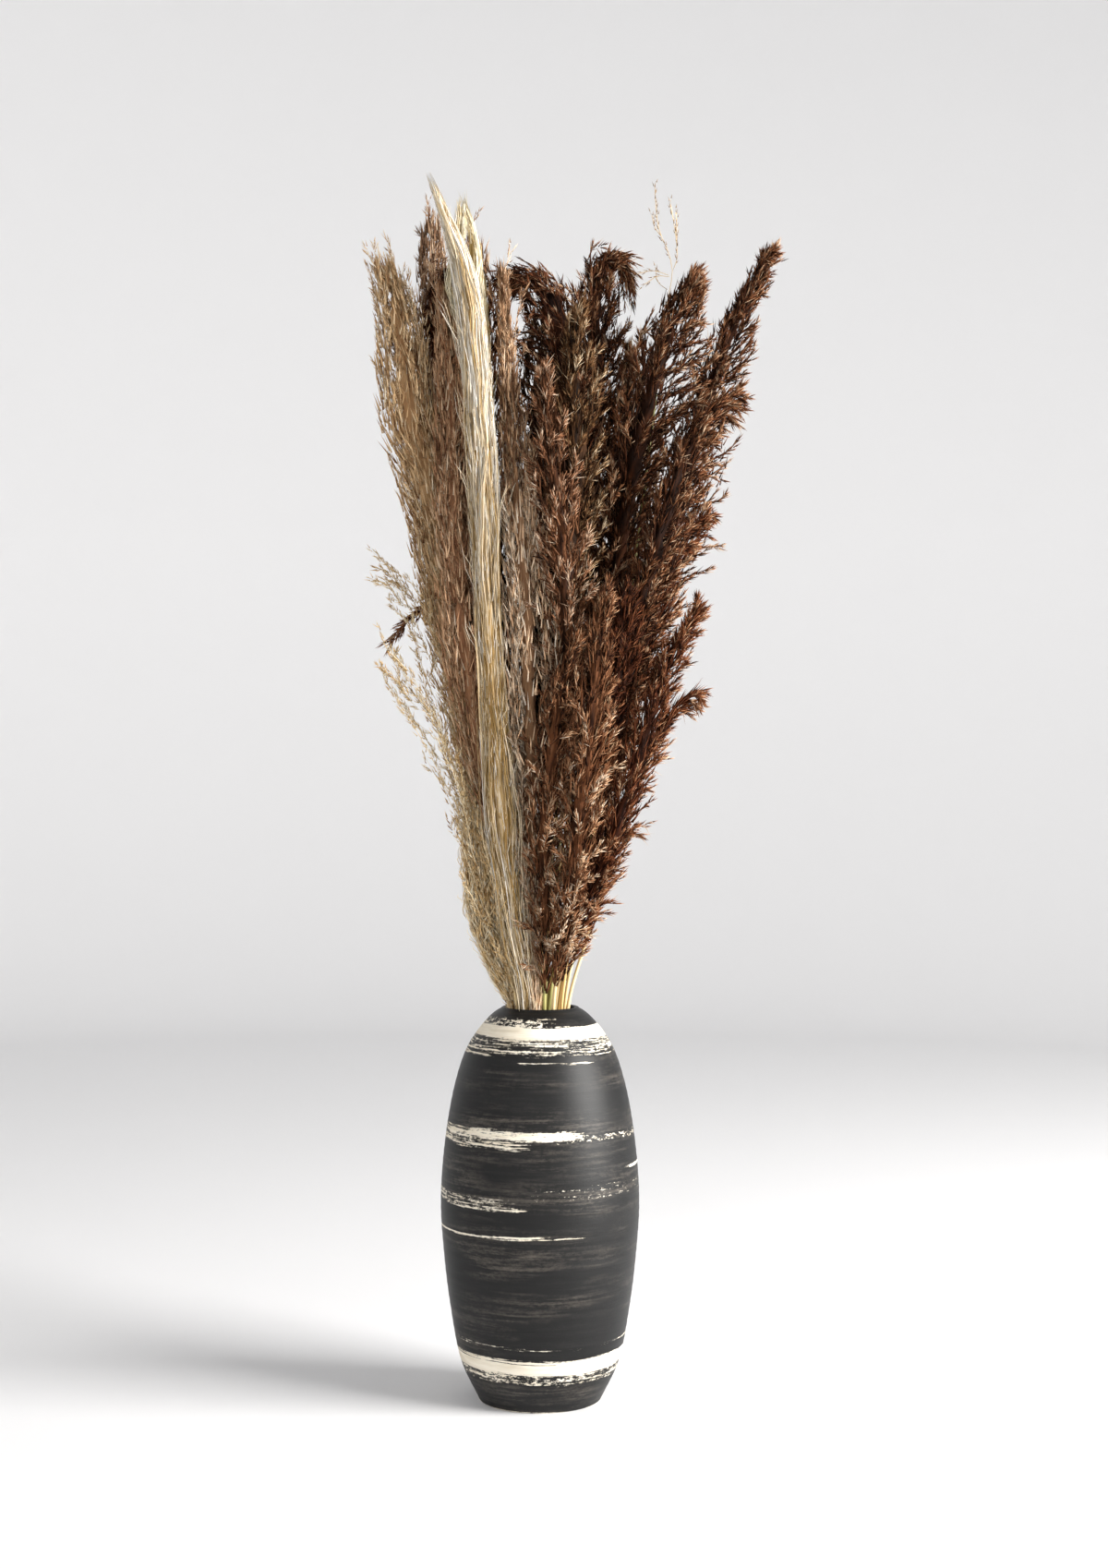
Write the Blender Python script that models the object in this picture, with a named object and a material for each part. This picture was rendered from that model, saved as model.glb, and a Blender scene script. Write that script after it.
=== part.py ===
"""Dried pampas grass and reed plumes standing in a tall stoneware vase.

The vase is a hollow turned solid. Each stalk is a bare stem, from the floor of the vase up
to where its plume begins, and a plume: a closed solid that follows the stalk's curve and
reaches the tips of its seed hairs. The stalks touch neither each other nor the vase.

Lengths in the tables are in millimetres; the objects are made in metres.
Origin: the centre of the vase's foot. +Z is up, -Y is the front.
"""
import bmesh
import bpy
import numpy as np

MM = 0.001

# Vase
HEIGHT = 350.0                 # foot to lip
FOOT_RADIUS = 55.0
BELLY_RADIUS = 89.0
LIP_RADIUS = 35.0
MOUTH_RADIUS = 31.0
WALL = 6.0
FLOOR = 8.0                    # thickness under the hollow
VASE_SIDES = 36

# Stalks
STEM_RADIUS = 2.2
STEM_TIP_RADIUS = 1.5          # where it enters the plume
GAP = 0.5                      # kept between any two pieces, and between stem and plume
FLOOR_SPREAD = 0.72            # the feet stand this much closer together than at the mouth
STEP = 8.0                     # distance between the points of a finely drawn route
STEM_SPACING = 110.0            # distance between the rings of a stem
PLUME_SPACING = 42.0           # and of a plume
HOOK_SPACING = 15.0            # and of a plume where it turns over sharply
STEM_BEVEL = 1                 # 6 sides
PLUME_BEVEL = 2                # 8 sides

# sRGB colour, roughness
FINISHES = {
    "stoneware": ((0.17, 0.17, 0.175), 0.62),
    "straw": ((0.80, 0.68, 0.46), 0.55),
    "tan": ((0.66, 0.54, 0.40), 0.80),
    "taupe": ((0.52, 0.43, 0.36), 0.80),
    "cream": ((0.86, 0.79, 0.63), 0.70),
    "brown": ((0.27, 0.17, 0.12), 0.80),
    "wisp": ((0.78, 0.68, 0.54), 0.75),
}

# How a plume's radius runs from its foot (0) to its tip (1), as shares of its widest radius.
FORMS = {
    "tan": ((0, 0.16), (0.12, 0.55), (0.35, 1.0), (0.65, 0.95), (0.85, 0.62), (1, 0.06)),
    "taupe": ((0, 0.16), (0.12, 0.55), (0.30, 1.0), (0.55, 0.62), (0.80, 0.48), (1, 0.06)),
    "cream": ((0, 0.25), (0.15, 0.80), (0.35, 0.75), (0.60, 1.0), (0.85, 0.80), (1, 0.10)),
    "brown": ((0, 0.14), (0.12, 0.50), (0.35, 0.95), (0.65, 1.0), (0.88, 0.70), (1, 0.06)),
    "wisp": ((0, 0.20), (0.30, 0.60), (0.65, 1.0), (0.90, 0.90), (1, 0.12)),
}

# Each stalk: kind, where it stands in the mouth (x, y), the height at which its plume begins,
# the plume's widest radius, and its way above the mouth as points (x, y, z).
STALKS = (
    ("tan", (-26, 0), 500, 22,
     ((-54, 4, 525), (-71, -6, 665), (-95, -18, 805), (-114, -24, 875), (-121, -22, 930), (-131, -18, 985),
      (-147, -12, 1034))),
    ("tan", (-17, -8), 470, 20,
     ((-48, -38, 540), (-65, -46, 670), (-75, -46, 790), (-79, -38, 898), (-84, -30, 964), (-91, -26, 1009))),
    ("tan", (-20, -16), 378, 15,
     ((-38, -32, 418), (-56, -42, 488), (-74, -48, 552), (-100, -50, 607), (-127, -50, 648), (-146, -46, 680))),
    ("tan", (-18, 0), 470, 15,
     ((-55, -14, 482), (-78, -18, 590), (-97, -24, 672), (-124, -26, 721), (-156, -26, 745))),
    ("tan", (-25, -8), 358, 14,
     ((-41, -12, 400), (-50, -16, 450), (-57, -18, 500), (-66, -18, 552))),
    ("tan", (-22, 8), 420, 22,
     ((-50, 40, 523), (-69, 62, 660), (-91, 68, 798), (-109, 64, 909), (-120, 60, 980))),
    ("taupe", (-14, 8), 520, 18,
     ((-51, 22, 549), (-67, 30, 675), (-80, 30, 802), (-92, 26, 927), (-99, 22, 1019), (-100, 20, 1088))),
    ("taupe", (-6, 8), 500, 21,
     ((-38, 30, 549), (-52, 45, 676), (-60, 50, 804), (-64, 48, 914), (-62, 38, 1005), (-57, 30, 1066))),
    ("taupe", (-4, -24), 430, 17,
     ((-8, -38, 442), (-7, -56, 548), (-10, -62, 670), (-19, -60, 784), (-28, -50, 898), (-33, -42, 980),
      (-36, -36, 1028))),
    ("cream", (-12, -24), 385, 13,
     ((-24, -40, 426), (-33, -62, 524), (-41, -74, 636), (-47, -76, 748), (-51, -74, 852), (-59, -66, 950),
      (-73, -58, 1016), (-96, -50, 1080))),
    ("cream", (-12, -16), 760, 10,
     ((-30, -18, 507), (-43, -24, 639), (-49, -26, 787), (-52, -30, 919), (-55, -34, 990), (-60, -36, 1030),
      (-67, -36, 1064))),
    ("brown", (-8, -8), 640, 20,
     ((-16, 4, 549), (-36, 6, 715), (-50, 2, 856), (-55, -4, 940), (-61, -8, 986), (-76, -8, 1008),
      (-92, -8, 996), (-100, -8, 968))),
    ("brown", (0, -8), 610, 24,
     ((17, 0, 549), (27, 2, 715), (30, 2, 839), (25, 0, 922), (11, -4, 978), (-9, -8, 1004), (-36, -10, 1008))),
    ("brown", (-2, 0), 620, 24,
     ((29, 18, 549), (40, 24, 717), (47, 24, 843), (49, 20, 940), (51, 18, 1000), (62, 16, 1030),
      (82, 14, 1020))),
    ("brown", (8, -8), 590, 33,
     ((42, -14, 524), (60, -20, 672), (81, -22, 811), (103, -20, 910), (121, -18, 964), (137, -16, 1004))),
    ("brown", (14, 0), 560, 20,
     ((48, 12, 507), (77, 18, 624), (107, 20, 742), (139, 18, 859), (169, 14, 946), (191, 10, 998), (207, 6, 1032))),
    ("brown", (17, -8), 540, 20,
     ((48, -24, 508), (69, -36, 614), (89, -42, 717), (112, -44, 802), (135, -44, 852), (157, -44, 882),
      (175, -44, 896))),
    ("brown", (22, 0), 460, 17,
     ((48, -6, 474), (64, -10, 573), (83, -16, 664), (108, -20, 738), (150, -22, 792))),
    ("brown", (19, -15), 392, 18,
     ((31, -38, 430), (54, -56, 492), (75, -64, 553), (97, -66, 617), (119, -66, 668), (138, -66, 704))),
    ("brown", (4, -16), 540, 20,
     ((22, -30, 548), (25, -44, 711), (28, -46, 832), (32, -44, 914), (34, -42, 968))),
    ("brown", (10, 8), 520, 19,
     ((46, 34, 549), (60, 48, 693), (70, 52, 830), (78, 50, 900), (84, 48, 950))),
    ("brown", (-4, -16), 540, 20,
     ((17, -54, 548), (23, -68, 668), (20, -74, 756), (12, -74, 830), (6, -72, 880), (2, -70, 908))),
    ("brown", (12, -24), 384, 17,
     ((23, -52, 443), (30, -72, 524), (41, -84, 604), (50, -88, 667), (57, -88, 715))),
    ("brown", (12, -16), 400, 19,
     ((35, -44, 467), (49, -62, 556), (63, -70, 628), (76, -74, 716))),
    ("brown", (4, -24), 376, 16,
     ((6, -46, 427), (10, -68, 508), (18, -80, 588), (26, -84, 636), (33, -86, 677))),
    ("brown", (25, -8), 420, 11,
     ((46, -14, 425), (68, -20, 507), (95, -26, 577), (120, -28, 618), (143, -28, 635))),
    ("brown", (2, 8), 420, 28,
     ((5, 40, 549), (0, 64, 721), (-3, 72, 851), (-2, 74, 938), (0, 74, 984))),
    ("brown", (18, 8), 440, 25,
     ((45, 50, 549), (68, 72, 722), (88, 80, 853), (104, 80, 930), (113, 78, 972))),
    ("wisp", (6, 0), 950, 10,
     ((54, 2, 549), (79, 6, 715), (99, 10, 857), (111, 14, 975), (111, 16, 1041), (110, 16, 1090))),
)


def clear_scene():
    for old in list(bpy.data.objects):
        bpy.data.objects.remove(old, do_unlink=True)


def material(name):
    """A Principled material in one finish; its sRGB colour is turned to linear."""
    if name in bpy.data.materials:
        return bpy.data.materials[name]
    (red, green, blue), roughness = FINISHES[name]
    made = bpy.data.materials.new(name)
    made.use_nodes = True
    shader = made.node_tree.nodes["Principled BSDF"]
    shader.inputs["Base Color"].default_value = (red ** 2.2, green ** 2.2, blue ** 2.2, 1.0)
    shader.inputs["Roughness"].default_value = roughness
    shader.inputs["Metallic"].default_value = 0.0
    return made


def smooth_line(points, spacing):
    """A centripetal Catmull-Rom curve through the points, drawn at an even spacing."""
    points = np.array(points, float)
    points = np.vstack([2 * points[0] - points[1], points, 2 * points[-1] - points[-2]])
    drawn = []
    for a, b, c, d in zip(points, points[1:], points[2:], points[3:]):
        knots = np.cumsum([0.0] + [np.sqrt(np.linalg.norm(q - p)) for p, q in ((a, b), (b, c), (c, d))])
        t = np.linspace(knots[1], knots[2], 40, endpoint=False)[:, None]
        ab = a + (b - a) * (t - knots[0]) / (knots[1] - knots[0])
        bc = b + (c - b) * (t - knots[1]) / (knots[2] - knots[1])
        cd = c + (d - c) * (t - knots[2]) / (knots[3] - knots[2])
        abc = ab + (bc - ab) * (t - knots[0]) / (knots[2] - knots[0])
        bcd = bc + (cd - bc) * (t - knots[1]) / (knots[3] - knots[1])
        drawn.append(abc + (bcd - abc) * (t - knots[1]) / (knots[2] - knots[1]))
    drawn = np.vstack(drawn + [points[-2:-1]])
    return at_lengths(drawn, even_lengths(drawn, spacing))


def lengths(line):
    """The distance along a line to each of its points."""
    return np.concatenate([[0.0], np.cumsum(np.linalg.norm(np.diff(line, axis=0), axis=1))])


def even_lengths(line, spacing):
    total = lengths(line)[-1]
    return np.linspace(0.0, total, max(2, int(round(total / spacing)) + 1))


def at_lengths(line, wanted):
    along = lengths(line)
    return np.stack([np.interp(wanted, along, axis) for axis in line.T], axis=1)


class Stalk:
    """One stalk: its finely drawn route, and how far it reaches to the side at each point."""

    def __init__(self, number, kind, slot, plume_foot, plume_radius, way):
        self.kind = kind
        self.number = number
        slot = np.array(slot, float)
        inside = [
            (*(slot * (FLOOR_SPREAD + (1 - FLOOR_SPREAD) * z / HEIGHT)), z)
            for z in (FLOOR + GAP, HEIGHT / 2, HEIGHT)
        ]
        self.line = smooth_line(inside + list(way), STEP)
        self.plume_radius = plume_radius
        self.plume_foot = plume_foot
        # the plume begins where the route first rises past its foot's height
        self.first = int(np.argmax(self.line[:, 2] >= plume_foot))
        share = np.clip((np.arange(len(self.line)) - self.first) / (len(self.line) - 1 - self.first), 0, 1)
        form = np.array(FORMS[kind]).T
        self.reach = plume_radius * np.interp(share, *form)
        self.reach[: self.first] = STEM_RADIUS
        self.is_plume = np.arange(len(self.line)) >= self.first


def spread_apart(stalks, rounds=70, side_share=0.3, ease=0.35, ease_height=70.0):
    """Moves crowded stalks apart, mostly forwards and back, while the mouth holds them.

    Each point is pushed from the nearest point of every stalk that it is too close to, and
    the push is evened out along the stalk so that it stays one smooth curve.
    """
    kernel = np.hanning(15)[1:-1]
    kernel /= kernel.sum()
    pad = len(kernel) // 2
    for _ in range(rounds):
        pushes = []
        for one in stalks:
            push = np.zeros_like(one.line)
            for other in stalks:
                if other is one:
                    continue
                apart = one.line[:, None] - other.line[None]
                distance = np.linalg.norm(apart, axis=2)
                nearest = distance.argmin(axis=1)
                rows = np.arange(len(one.line))
                near = distance[rows, nearest]
                short = np.maximum(0.0, one.reach + other.reach[nearest] + GAP - near)
                push += apart[rows, nearest] / np.maximum(near, 1.0)[:, None] * short[:, None]
            push *= np.array([side_share, 1.0, 0.0]) * ease
            push *= np.clip((one.line[:, 2] - HEIGHT) / ease_height, 0, 1)[:, None]
            size = np.maximum(np.linalg.norm(push, axis=1, keepdims=True), 1e-9)
            push *= np.minimum(1.0, 2.5 / size)
            padded = np.pad(push, ((pad, pad), (0, 0)), mode="edge")
            pushes.append(np.stack([np.convolve(axis, kernel, "valid") for axis in padded.T], axis=1))
        for one, push in zip(stalks, pushes):
            one.line += push


def fit_radii(stalks, margin=0.93):
    """Narrows each plume to its share of the room between it and its neighbours.

    Two plumes share the distance between their centre lines in the ratio of the radii that
    they would like, and a plume keeps clear of a bare stem by the stem's whole radius.
    """
    wanted = [one.reach.copy() for one in stalks]
    for one, want in zip(stalks, wanted):
        for other, other_want in zip(stalks, wanted):
            if other is one:
                continue
            distance = np.linalg.norm(one.line[:, None] - other.line[None], axis=2)
            stem = distance[:, ~other.is_plume].min(axis=1) * margin - STEM_RADIUS - GAP
            plume = distance[:, other.is_plume]
            nearest = plume.argmin(axis=1)
            near = plume[np.arange(len(plume)), nearest]
            share = want / (want + other_want[other.is_plume][nearest])
            room = np.minimum(stem, near * margin * share - GAP / 2)
            one.reach = np.where(one.is_plume, np.minimum(one.reach, room), one.reach)
        turn = bend_radius(one.line)
        one.reach = np.where(one.is_plume, np.minimum(one.reach, 0.8 * turn), one.reach)
        one.reach = np.maximum(one.reach, 0.8)


def bend_radius(line):
    """The radius of the circle through each point and the ones 3 steps before and after it."""
    before, after = line[:-6], line[6:]
    middle = line[3:-3]
    a = np.linalg.norm(middle - before, axis=1)
    b = np.linalg.norm(after - middle, axis=1)
    c = np.linalg.norm(after - before, axis=1)
    area = np.linalg.norm(np.cross(middle - before, after - before), axis=1) / 2
    return np.pad(a * b * c / np.maximum(4 * area, 1e-6), 3, mode="edge")


def stations(line, spacing, hook_spacing=None):
    """Places along a line for its rings: even, but closer together where it turns sharply."""
    along = lengths(line)
    density = np.full(len(line), 1.0 / spacing)
    if hook_spacing:
        density += (1.0 / hook_spacing - 1.0 / spacing) * np.clip(90.0 / bend_radius(line) - 0.6, 0, 1)
    count = np.concatenate([[0.0], np.cumsum((density[1:] + density[:-1]) / 2 * np.diff(along))])
    return np.interp(np.linspace(0, count[-1], max(3, int(np.ceil(count[-1])) + 1)), count, along)


def tube(name, line, radii, bevel, finish):
    """A closed round solid along a line: a curve with a bevel and filled caps."""
    data = bpy.data.curves.new(name, "CURVE")
    data.dimensions = "3D"
    data.bevel_depth = MM
    data.bevel_resolution = bevel
    data.use_fill_caps = True
    spline = data.splines.new("POLY")
    spline.points.add(len(line) - 1)
    for point, place, radius in zip(spline.points, line, radii):
        point.co = (*(place * MM), 1.0)
        point.radius = radius
    spline.use_smooth = True
    data.materials.append(material(finish))
    made = bpy.data.objects.new(name, data)
    bpy.context.scene.collection.objects.link(made)
    return made


def make_stalk(one):
    along = lengths(one.line)
    foot = along[one.first]

    # the stem has a ring level with the lip, where it turns outwards
    mouth = along[np.argmax(one.line[:, 2] >= HEIGHT)]
    rings = [max(2, int(np.ceil(length / STEM_SPACING)) + 1) for length in (mouth, foot - mouth)]
    places = np.concatenate([np.linspace(0, mouth, rings[0])[:-1], np.linspace(mouth, foot - GAP, rings[1])])
    taper = np.interp(places, (0, places[-1]), (STEM_RADIUS, STEM_TIP_RADIUS))
    tube(f"{one.kind}_stem_{one.number:02d}", at_lengths(one.line, places), taper, STEM_BEVEL, "straw")

    plume_line = one.line[one.first:]
    places = stations(plume_line, PLUME_SPACING, HOOK_SPACING) + foot
    half = PLUME_SPACING / 3
    near = np.linspace(-half, half, 7)
    radii = np.interp(places[:, None] + near, along[one.is_plume], one.reach[one.is_plume]).min(axis=1)
    tube(f"{one.kind}_plume_{one.number:02d}", at_lengths(one.line, places), radii, PLUME_BEVEL, one.kind)


def make_vase():
    """The vase is a profile, outside then inside, spun once round the Z axis."""
    outside = smooth_line(
        ((FOOT_RADIUS, 1.5), (70.5, 34), (80.5, 84), (86.5, 134), (BELLY_RADIUS, 178), (85, 233),
         (76, 283), (65, 315), (50, 336.5), (40, 346), (LIP_RADIUS, HEIGHT - 1.2)), 25.0)
    inside = smooth_line(
        ((MOUTH_RADIUS, HEIGHT - 1.2), (39, 341), (59, 313), (76 - WALL, 277), (85 - WALL, 230),
         (BELLY_RADIUS - WALL, 178), (80.5 - WALL, 88), (70.5 - WALL, 40), (52, FLOOR + 7),
         (40, FLOOR)), 36.0)
    lip = ((LIP_RADIUS - 1.0, HEIGHT), (MOUTH_RADIUS + 1.0, HEIGHT))
    profile = [(0, 0), (FOOT_RADIUS - 1.5, 0), *outside, *lip, *inside, (0, FLOOR)]

    shape = bmesh.new()
    corners = [shape.verts.new((r * MM, 0, z * MM)) for r, z in profile]
    edges = [shape.edges.new(pair) for pair in zip(corners, corners[1:])]
    bmesh.ops.spin(shape, geom=corners + edges, cent=(0, 0, 0), axis=(0, 0, 1), angle=2 * np.pi,
                   steps=VASE_SIDES, use_merge=True, use_duplicate=False)
    bmesh.ops.remove_doubles(shape, verts=shape.verts, dist=0.02 * MM)
    bmesh.ops.recalc_face_normals(shape, faces=shape.faces)
    mesh = bpy.data.meshes.new("vase")
    shape.to_mesh(mesh)
    shape.free()
    mesh.shade_smooth()
    mesh.set_sharp_from_angle(angle=np.radians(40))
    mesh.materials.append(material("stoneware"))
    bpy.context.scene.collection.objects.link(bpy.data.objects.new("vase", mesh))


def main():
    clear_scene()
    make_vase()
    numbers = {}
    stalks = []
    for kind, *rest in STALKS:
        numbers[kind] = numbers.get(kind, 0) + 1
        stalks.append(Stalk(numbers[kind], kind, *rest))
    spread_apart(stalks)
    fit_radii(stalks)
    for one in stalks:
        make_stalk(one)


main()
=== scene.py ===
"""Dried pampas grass, silver grass and reed plumes in a dark stoneware vase."""

import bpy
import numpy as np
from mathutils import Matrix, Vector


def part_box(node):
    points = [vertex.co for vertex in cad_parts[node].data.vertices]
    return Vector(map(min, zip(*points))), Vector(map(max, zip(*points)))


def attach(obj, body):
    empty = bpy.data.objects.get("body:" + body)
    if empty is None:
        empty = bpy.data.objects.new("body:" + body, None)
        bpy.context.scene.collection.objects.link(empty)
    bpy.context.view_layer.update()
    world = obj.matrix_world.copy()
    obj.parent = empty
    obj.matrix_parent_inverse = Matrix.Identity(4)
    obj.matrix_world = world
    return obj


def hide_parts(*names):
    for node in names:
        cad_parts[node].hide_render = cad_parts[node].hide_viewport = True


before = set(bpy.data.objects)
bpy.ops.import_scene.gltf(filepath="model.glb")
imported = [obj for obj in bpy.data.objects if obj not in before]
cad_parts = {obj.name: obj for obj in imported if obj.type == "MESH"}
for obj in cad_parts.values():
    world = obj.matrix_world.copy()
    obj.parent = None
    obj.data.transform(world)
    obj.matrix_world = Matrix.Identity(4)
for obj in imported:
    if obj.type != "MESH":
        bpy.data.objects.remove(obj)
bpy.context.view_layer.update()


# ---------------------------------------------------------------------------------------
# Vase. Hand-thrown stoneware, left unglazed and fired nearly black. Its wall shows the rings
# of throwing, and cream slip was dragged round it with a dry, wide brush while it turned.
# ---------------------------------------------------------------------------------------
MM = 0.001
DRAWN_HEIGHT = 0.350         # the outline below is drawn for this height
VASE_SIDES = 120
OUTSIDE_ROWS = 100
INSIDE_ROWS = 24
THROWING_PITCH_MM = 9.0      # a thrower's finger rises about this much each turn
THROWING_SWAY_MM = 37.0      # and the pitch comes and goes over 2 pi times this height
THROWING_DEPTH_MM = 0.22
RINGS_FADE_MM = 20.0         # the rings fade out over this height at the foot and at the neck
NECK_MM = 346.0
RIM_MM = 348.8               # where the round of the lip begins
FLOOR_MM = 8.0               # the floor's thickness
AXIS_MM = 0.3                # the radius of the first ring round the axis, closed by a fan
CURVE_STEPS = 24             # between two points that a curve is drawn through


def smooth_line(points, count):
    """A centripetal Catmull-Rom curve through the points, as count places evenly far apart.
    Between two points it blends the straight lines through their neighbours, each weighted
    by the square root of the distances, so it never loops."""
    points = np.array(points, float)
    ends = 2 * points[0] - points[1], 2 * points[-1] - points[-2]
    points = np.vstack([ends[0], points, ends[1]])
    a, b, c, d = (points[i:len(points) - 3 + i, None] for i in range(4))
    knot = [np.zeros((len(a), 1, 1))]
    for here, after in ((a, b), (b, c), (c, d)):
        step = np.sqrt(np.linalg.norm(after - here, axis=2, keepdims=True))
        knot.append(knot[-1] + np.maximum(step, 1e-6))
    share = np.linspace(0, 1, CURVE_STEPS, endpoint=False)[None, :, None]
    t = knot[1] + (knot[2] - knot[1]) * share

    def between(p, q, start, end):
        """The straight line from p, where t is at its start, to q, where it is at its end."""
        return p + (q - p) * (t - start) / (end - start)

    ab = between(a, b, knot[0], knot[1])
    bc = between(b, c, knot[1], knot[2])
    cd = between(c, d, knot[2], knot[3])
    abc, bcd = between(ab, bc, knot[0], knot[2]), between(bc, cd, knot[1], knot[3])
    drawn = between(abc, bcd, knot[1], knot[2]).reshape(-1, points.shape[1])
    drawn = np.vstack([drawn, points[-2]])
    along = np.concatenate([[0], np.cumsum(np.linalg.norm(np.diff(drawn, axis=0), axis=1))])
    wanted = np.linspace(0, along[-1], count)
    return np.stack([np.interp(wanted, along, axis) for axis in drawn.T], axis=1)


def turned(profile, sides):
    """Corners of a profile (r, z) spun round the Z axis: row i, side j stands at
    (r cos a, r sin a, z) with a = 2 pi j / sides."""
    angle = np.arange(sides) * 2 * np.pi / sides
    return np.stack([
        profile[:, None, 0] * np.cos(angle), profile[:, None, 0] * np.sin(angle),
        np.broadcast_to(profile[:, None, 1], (len(profile), sides))], axis=2).reshape(-1, 3)


def ring_quads(rows, sides):
    """Faces between rings of corners: corner j of row i joins corner j + 1 of its own row
    and both their like in row i + 1."""
    row, side = np.meshgrid(np.arange(rows - 1), np.arange(sides), indexing="ij")
    a, b = row * sides + side, row * sides + (side + 1) % sides
    return np.stack([a, b, b + sides, a + sides], axis=2).reshape(-1, 4)


def closed_rings(rows, sides):
    """The faces between the rings as triangles, and a fan round a pole at either end. The
    two poles are numbered after all the rings' corners."""
    walls = ring_quads(rows, sides)[:, (0, 1, 2, 0, 2, 3)].reshape(-1, 3)
    ring = np.arange(sides)
    after, top = (ring + 1) % sides, (rows - 1) * sides
    first, last = np.full(sides, rows * sides), np.full(sides, rows * sides + 1)
    fans = np.stack([after, ring, first], 1), np.stack([top + ring, top + after, last], 1)
    return np.vstack([walls, *fans])


def mesh_piece(name, corners, faces, finish, uv=None):
    """A piece from arrays: corners (n, 3) in metres, faces (m, 3) as corner numbers, and one
    uv for each corner."""
    mesh = bpy.data.meshes.new(name)
    mesh.vertices.add(len(corners))
    mesh.vertices.foreach_set("co", corners.astype(np.float32).ravel())
    mesh.loops.add(faces.size)
    mesh.loops.foreach_set("vertex_index", faces.astype(np.int32).ravel())
    mesh.polygons.add(len(faces))
    mesh.polygons.foreach_set("loop_start", np.arange(0, faces.size, 3, dtype=np.int32))
    mesh.update(calc_edges=True)
    mesh.shade_smooth()
    if uv is not None:
        layer = mesh.uv_layers.new(name="OFBake")
        layer.uv.foreach_set("vector", uv[faces.ravel()].astype(np.float32).ravel())
    mesh.materials.append(finish)
    piece = bpy.data.objects.new(name, mesh)
    bpy.context.scene.collection.objects.link(piece)
    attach(piece, "root")
    return piece


def linear(colour):
    """An sRGB hex colour as linear RGBA: a share up to 0.04045 is divided by 12.92, and one
    above it is ((share + 0.055) / 1.055) ^ 2.4."""
    srgb = np.array([int(colour[i:i + 2], 16) for i in (1, 3, 5)]) / 255
    return (*np.where(srgb <= 0.04045, srgb / 12.92, ((srgb + 0.055) / 1.055) ** 2.4), 1.0)


def new_material(name, **uniform):
    """A material and its shader, with the values that are the same all over its surface."""
    made = bpy.data.materials.new(name)
    made.use_nodes = True
    shader = made.node_tree.nodes["Principled BSDF"]
    for socket, value in uniform.items():
        shader.inputs[socket.replace("_", " ")].default_value = value
    return made, shader


def add(material, kind, inputs=(), output=0, stops=(), **settings):
    """Adds a node and gives back one of its outputs. Inputs are values or other nodes'
    outputs, in order or by name, stops are a colour ramp's, as positions with colours, and
    settings are the node's own, such as operation."""
    made = material.node_tree.nodes.new("ShaderNode" + kind)
    for setting, value in settings.items():
        setattr(made, setting, value)
    for name, value in inputs.items() if isinstance(inputs, dict) else enumerate(inputs):
        if isinstance(value, bpy.types.NodeSocket):
            material.node_tree.links.new(value, made.inputs[name])
        else:
            made.inputs[name].default_value = value
    if stops:
        ramp = made.color_ramp.elements
        ramp.remove(ramp[1])
        ramp[0].position, ramp[0].color = stops[0][0], linear(stops[0][1])
        for position, colour in stops[1:]:
            ramp.new(position).color = linear(colour)
    return made.outputs[output]


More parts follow.
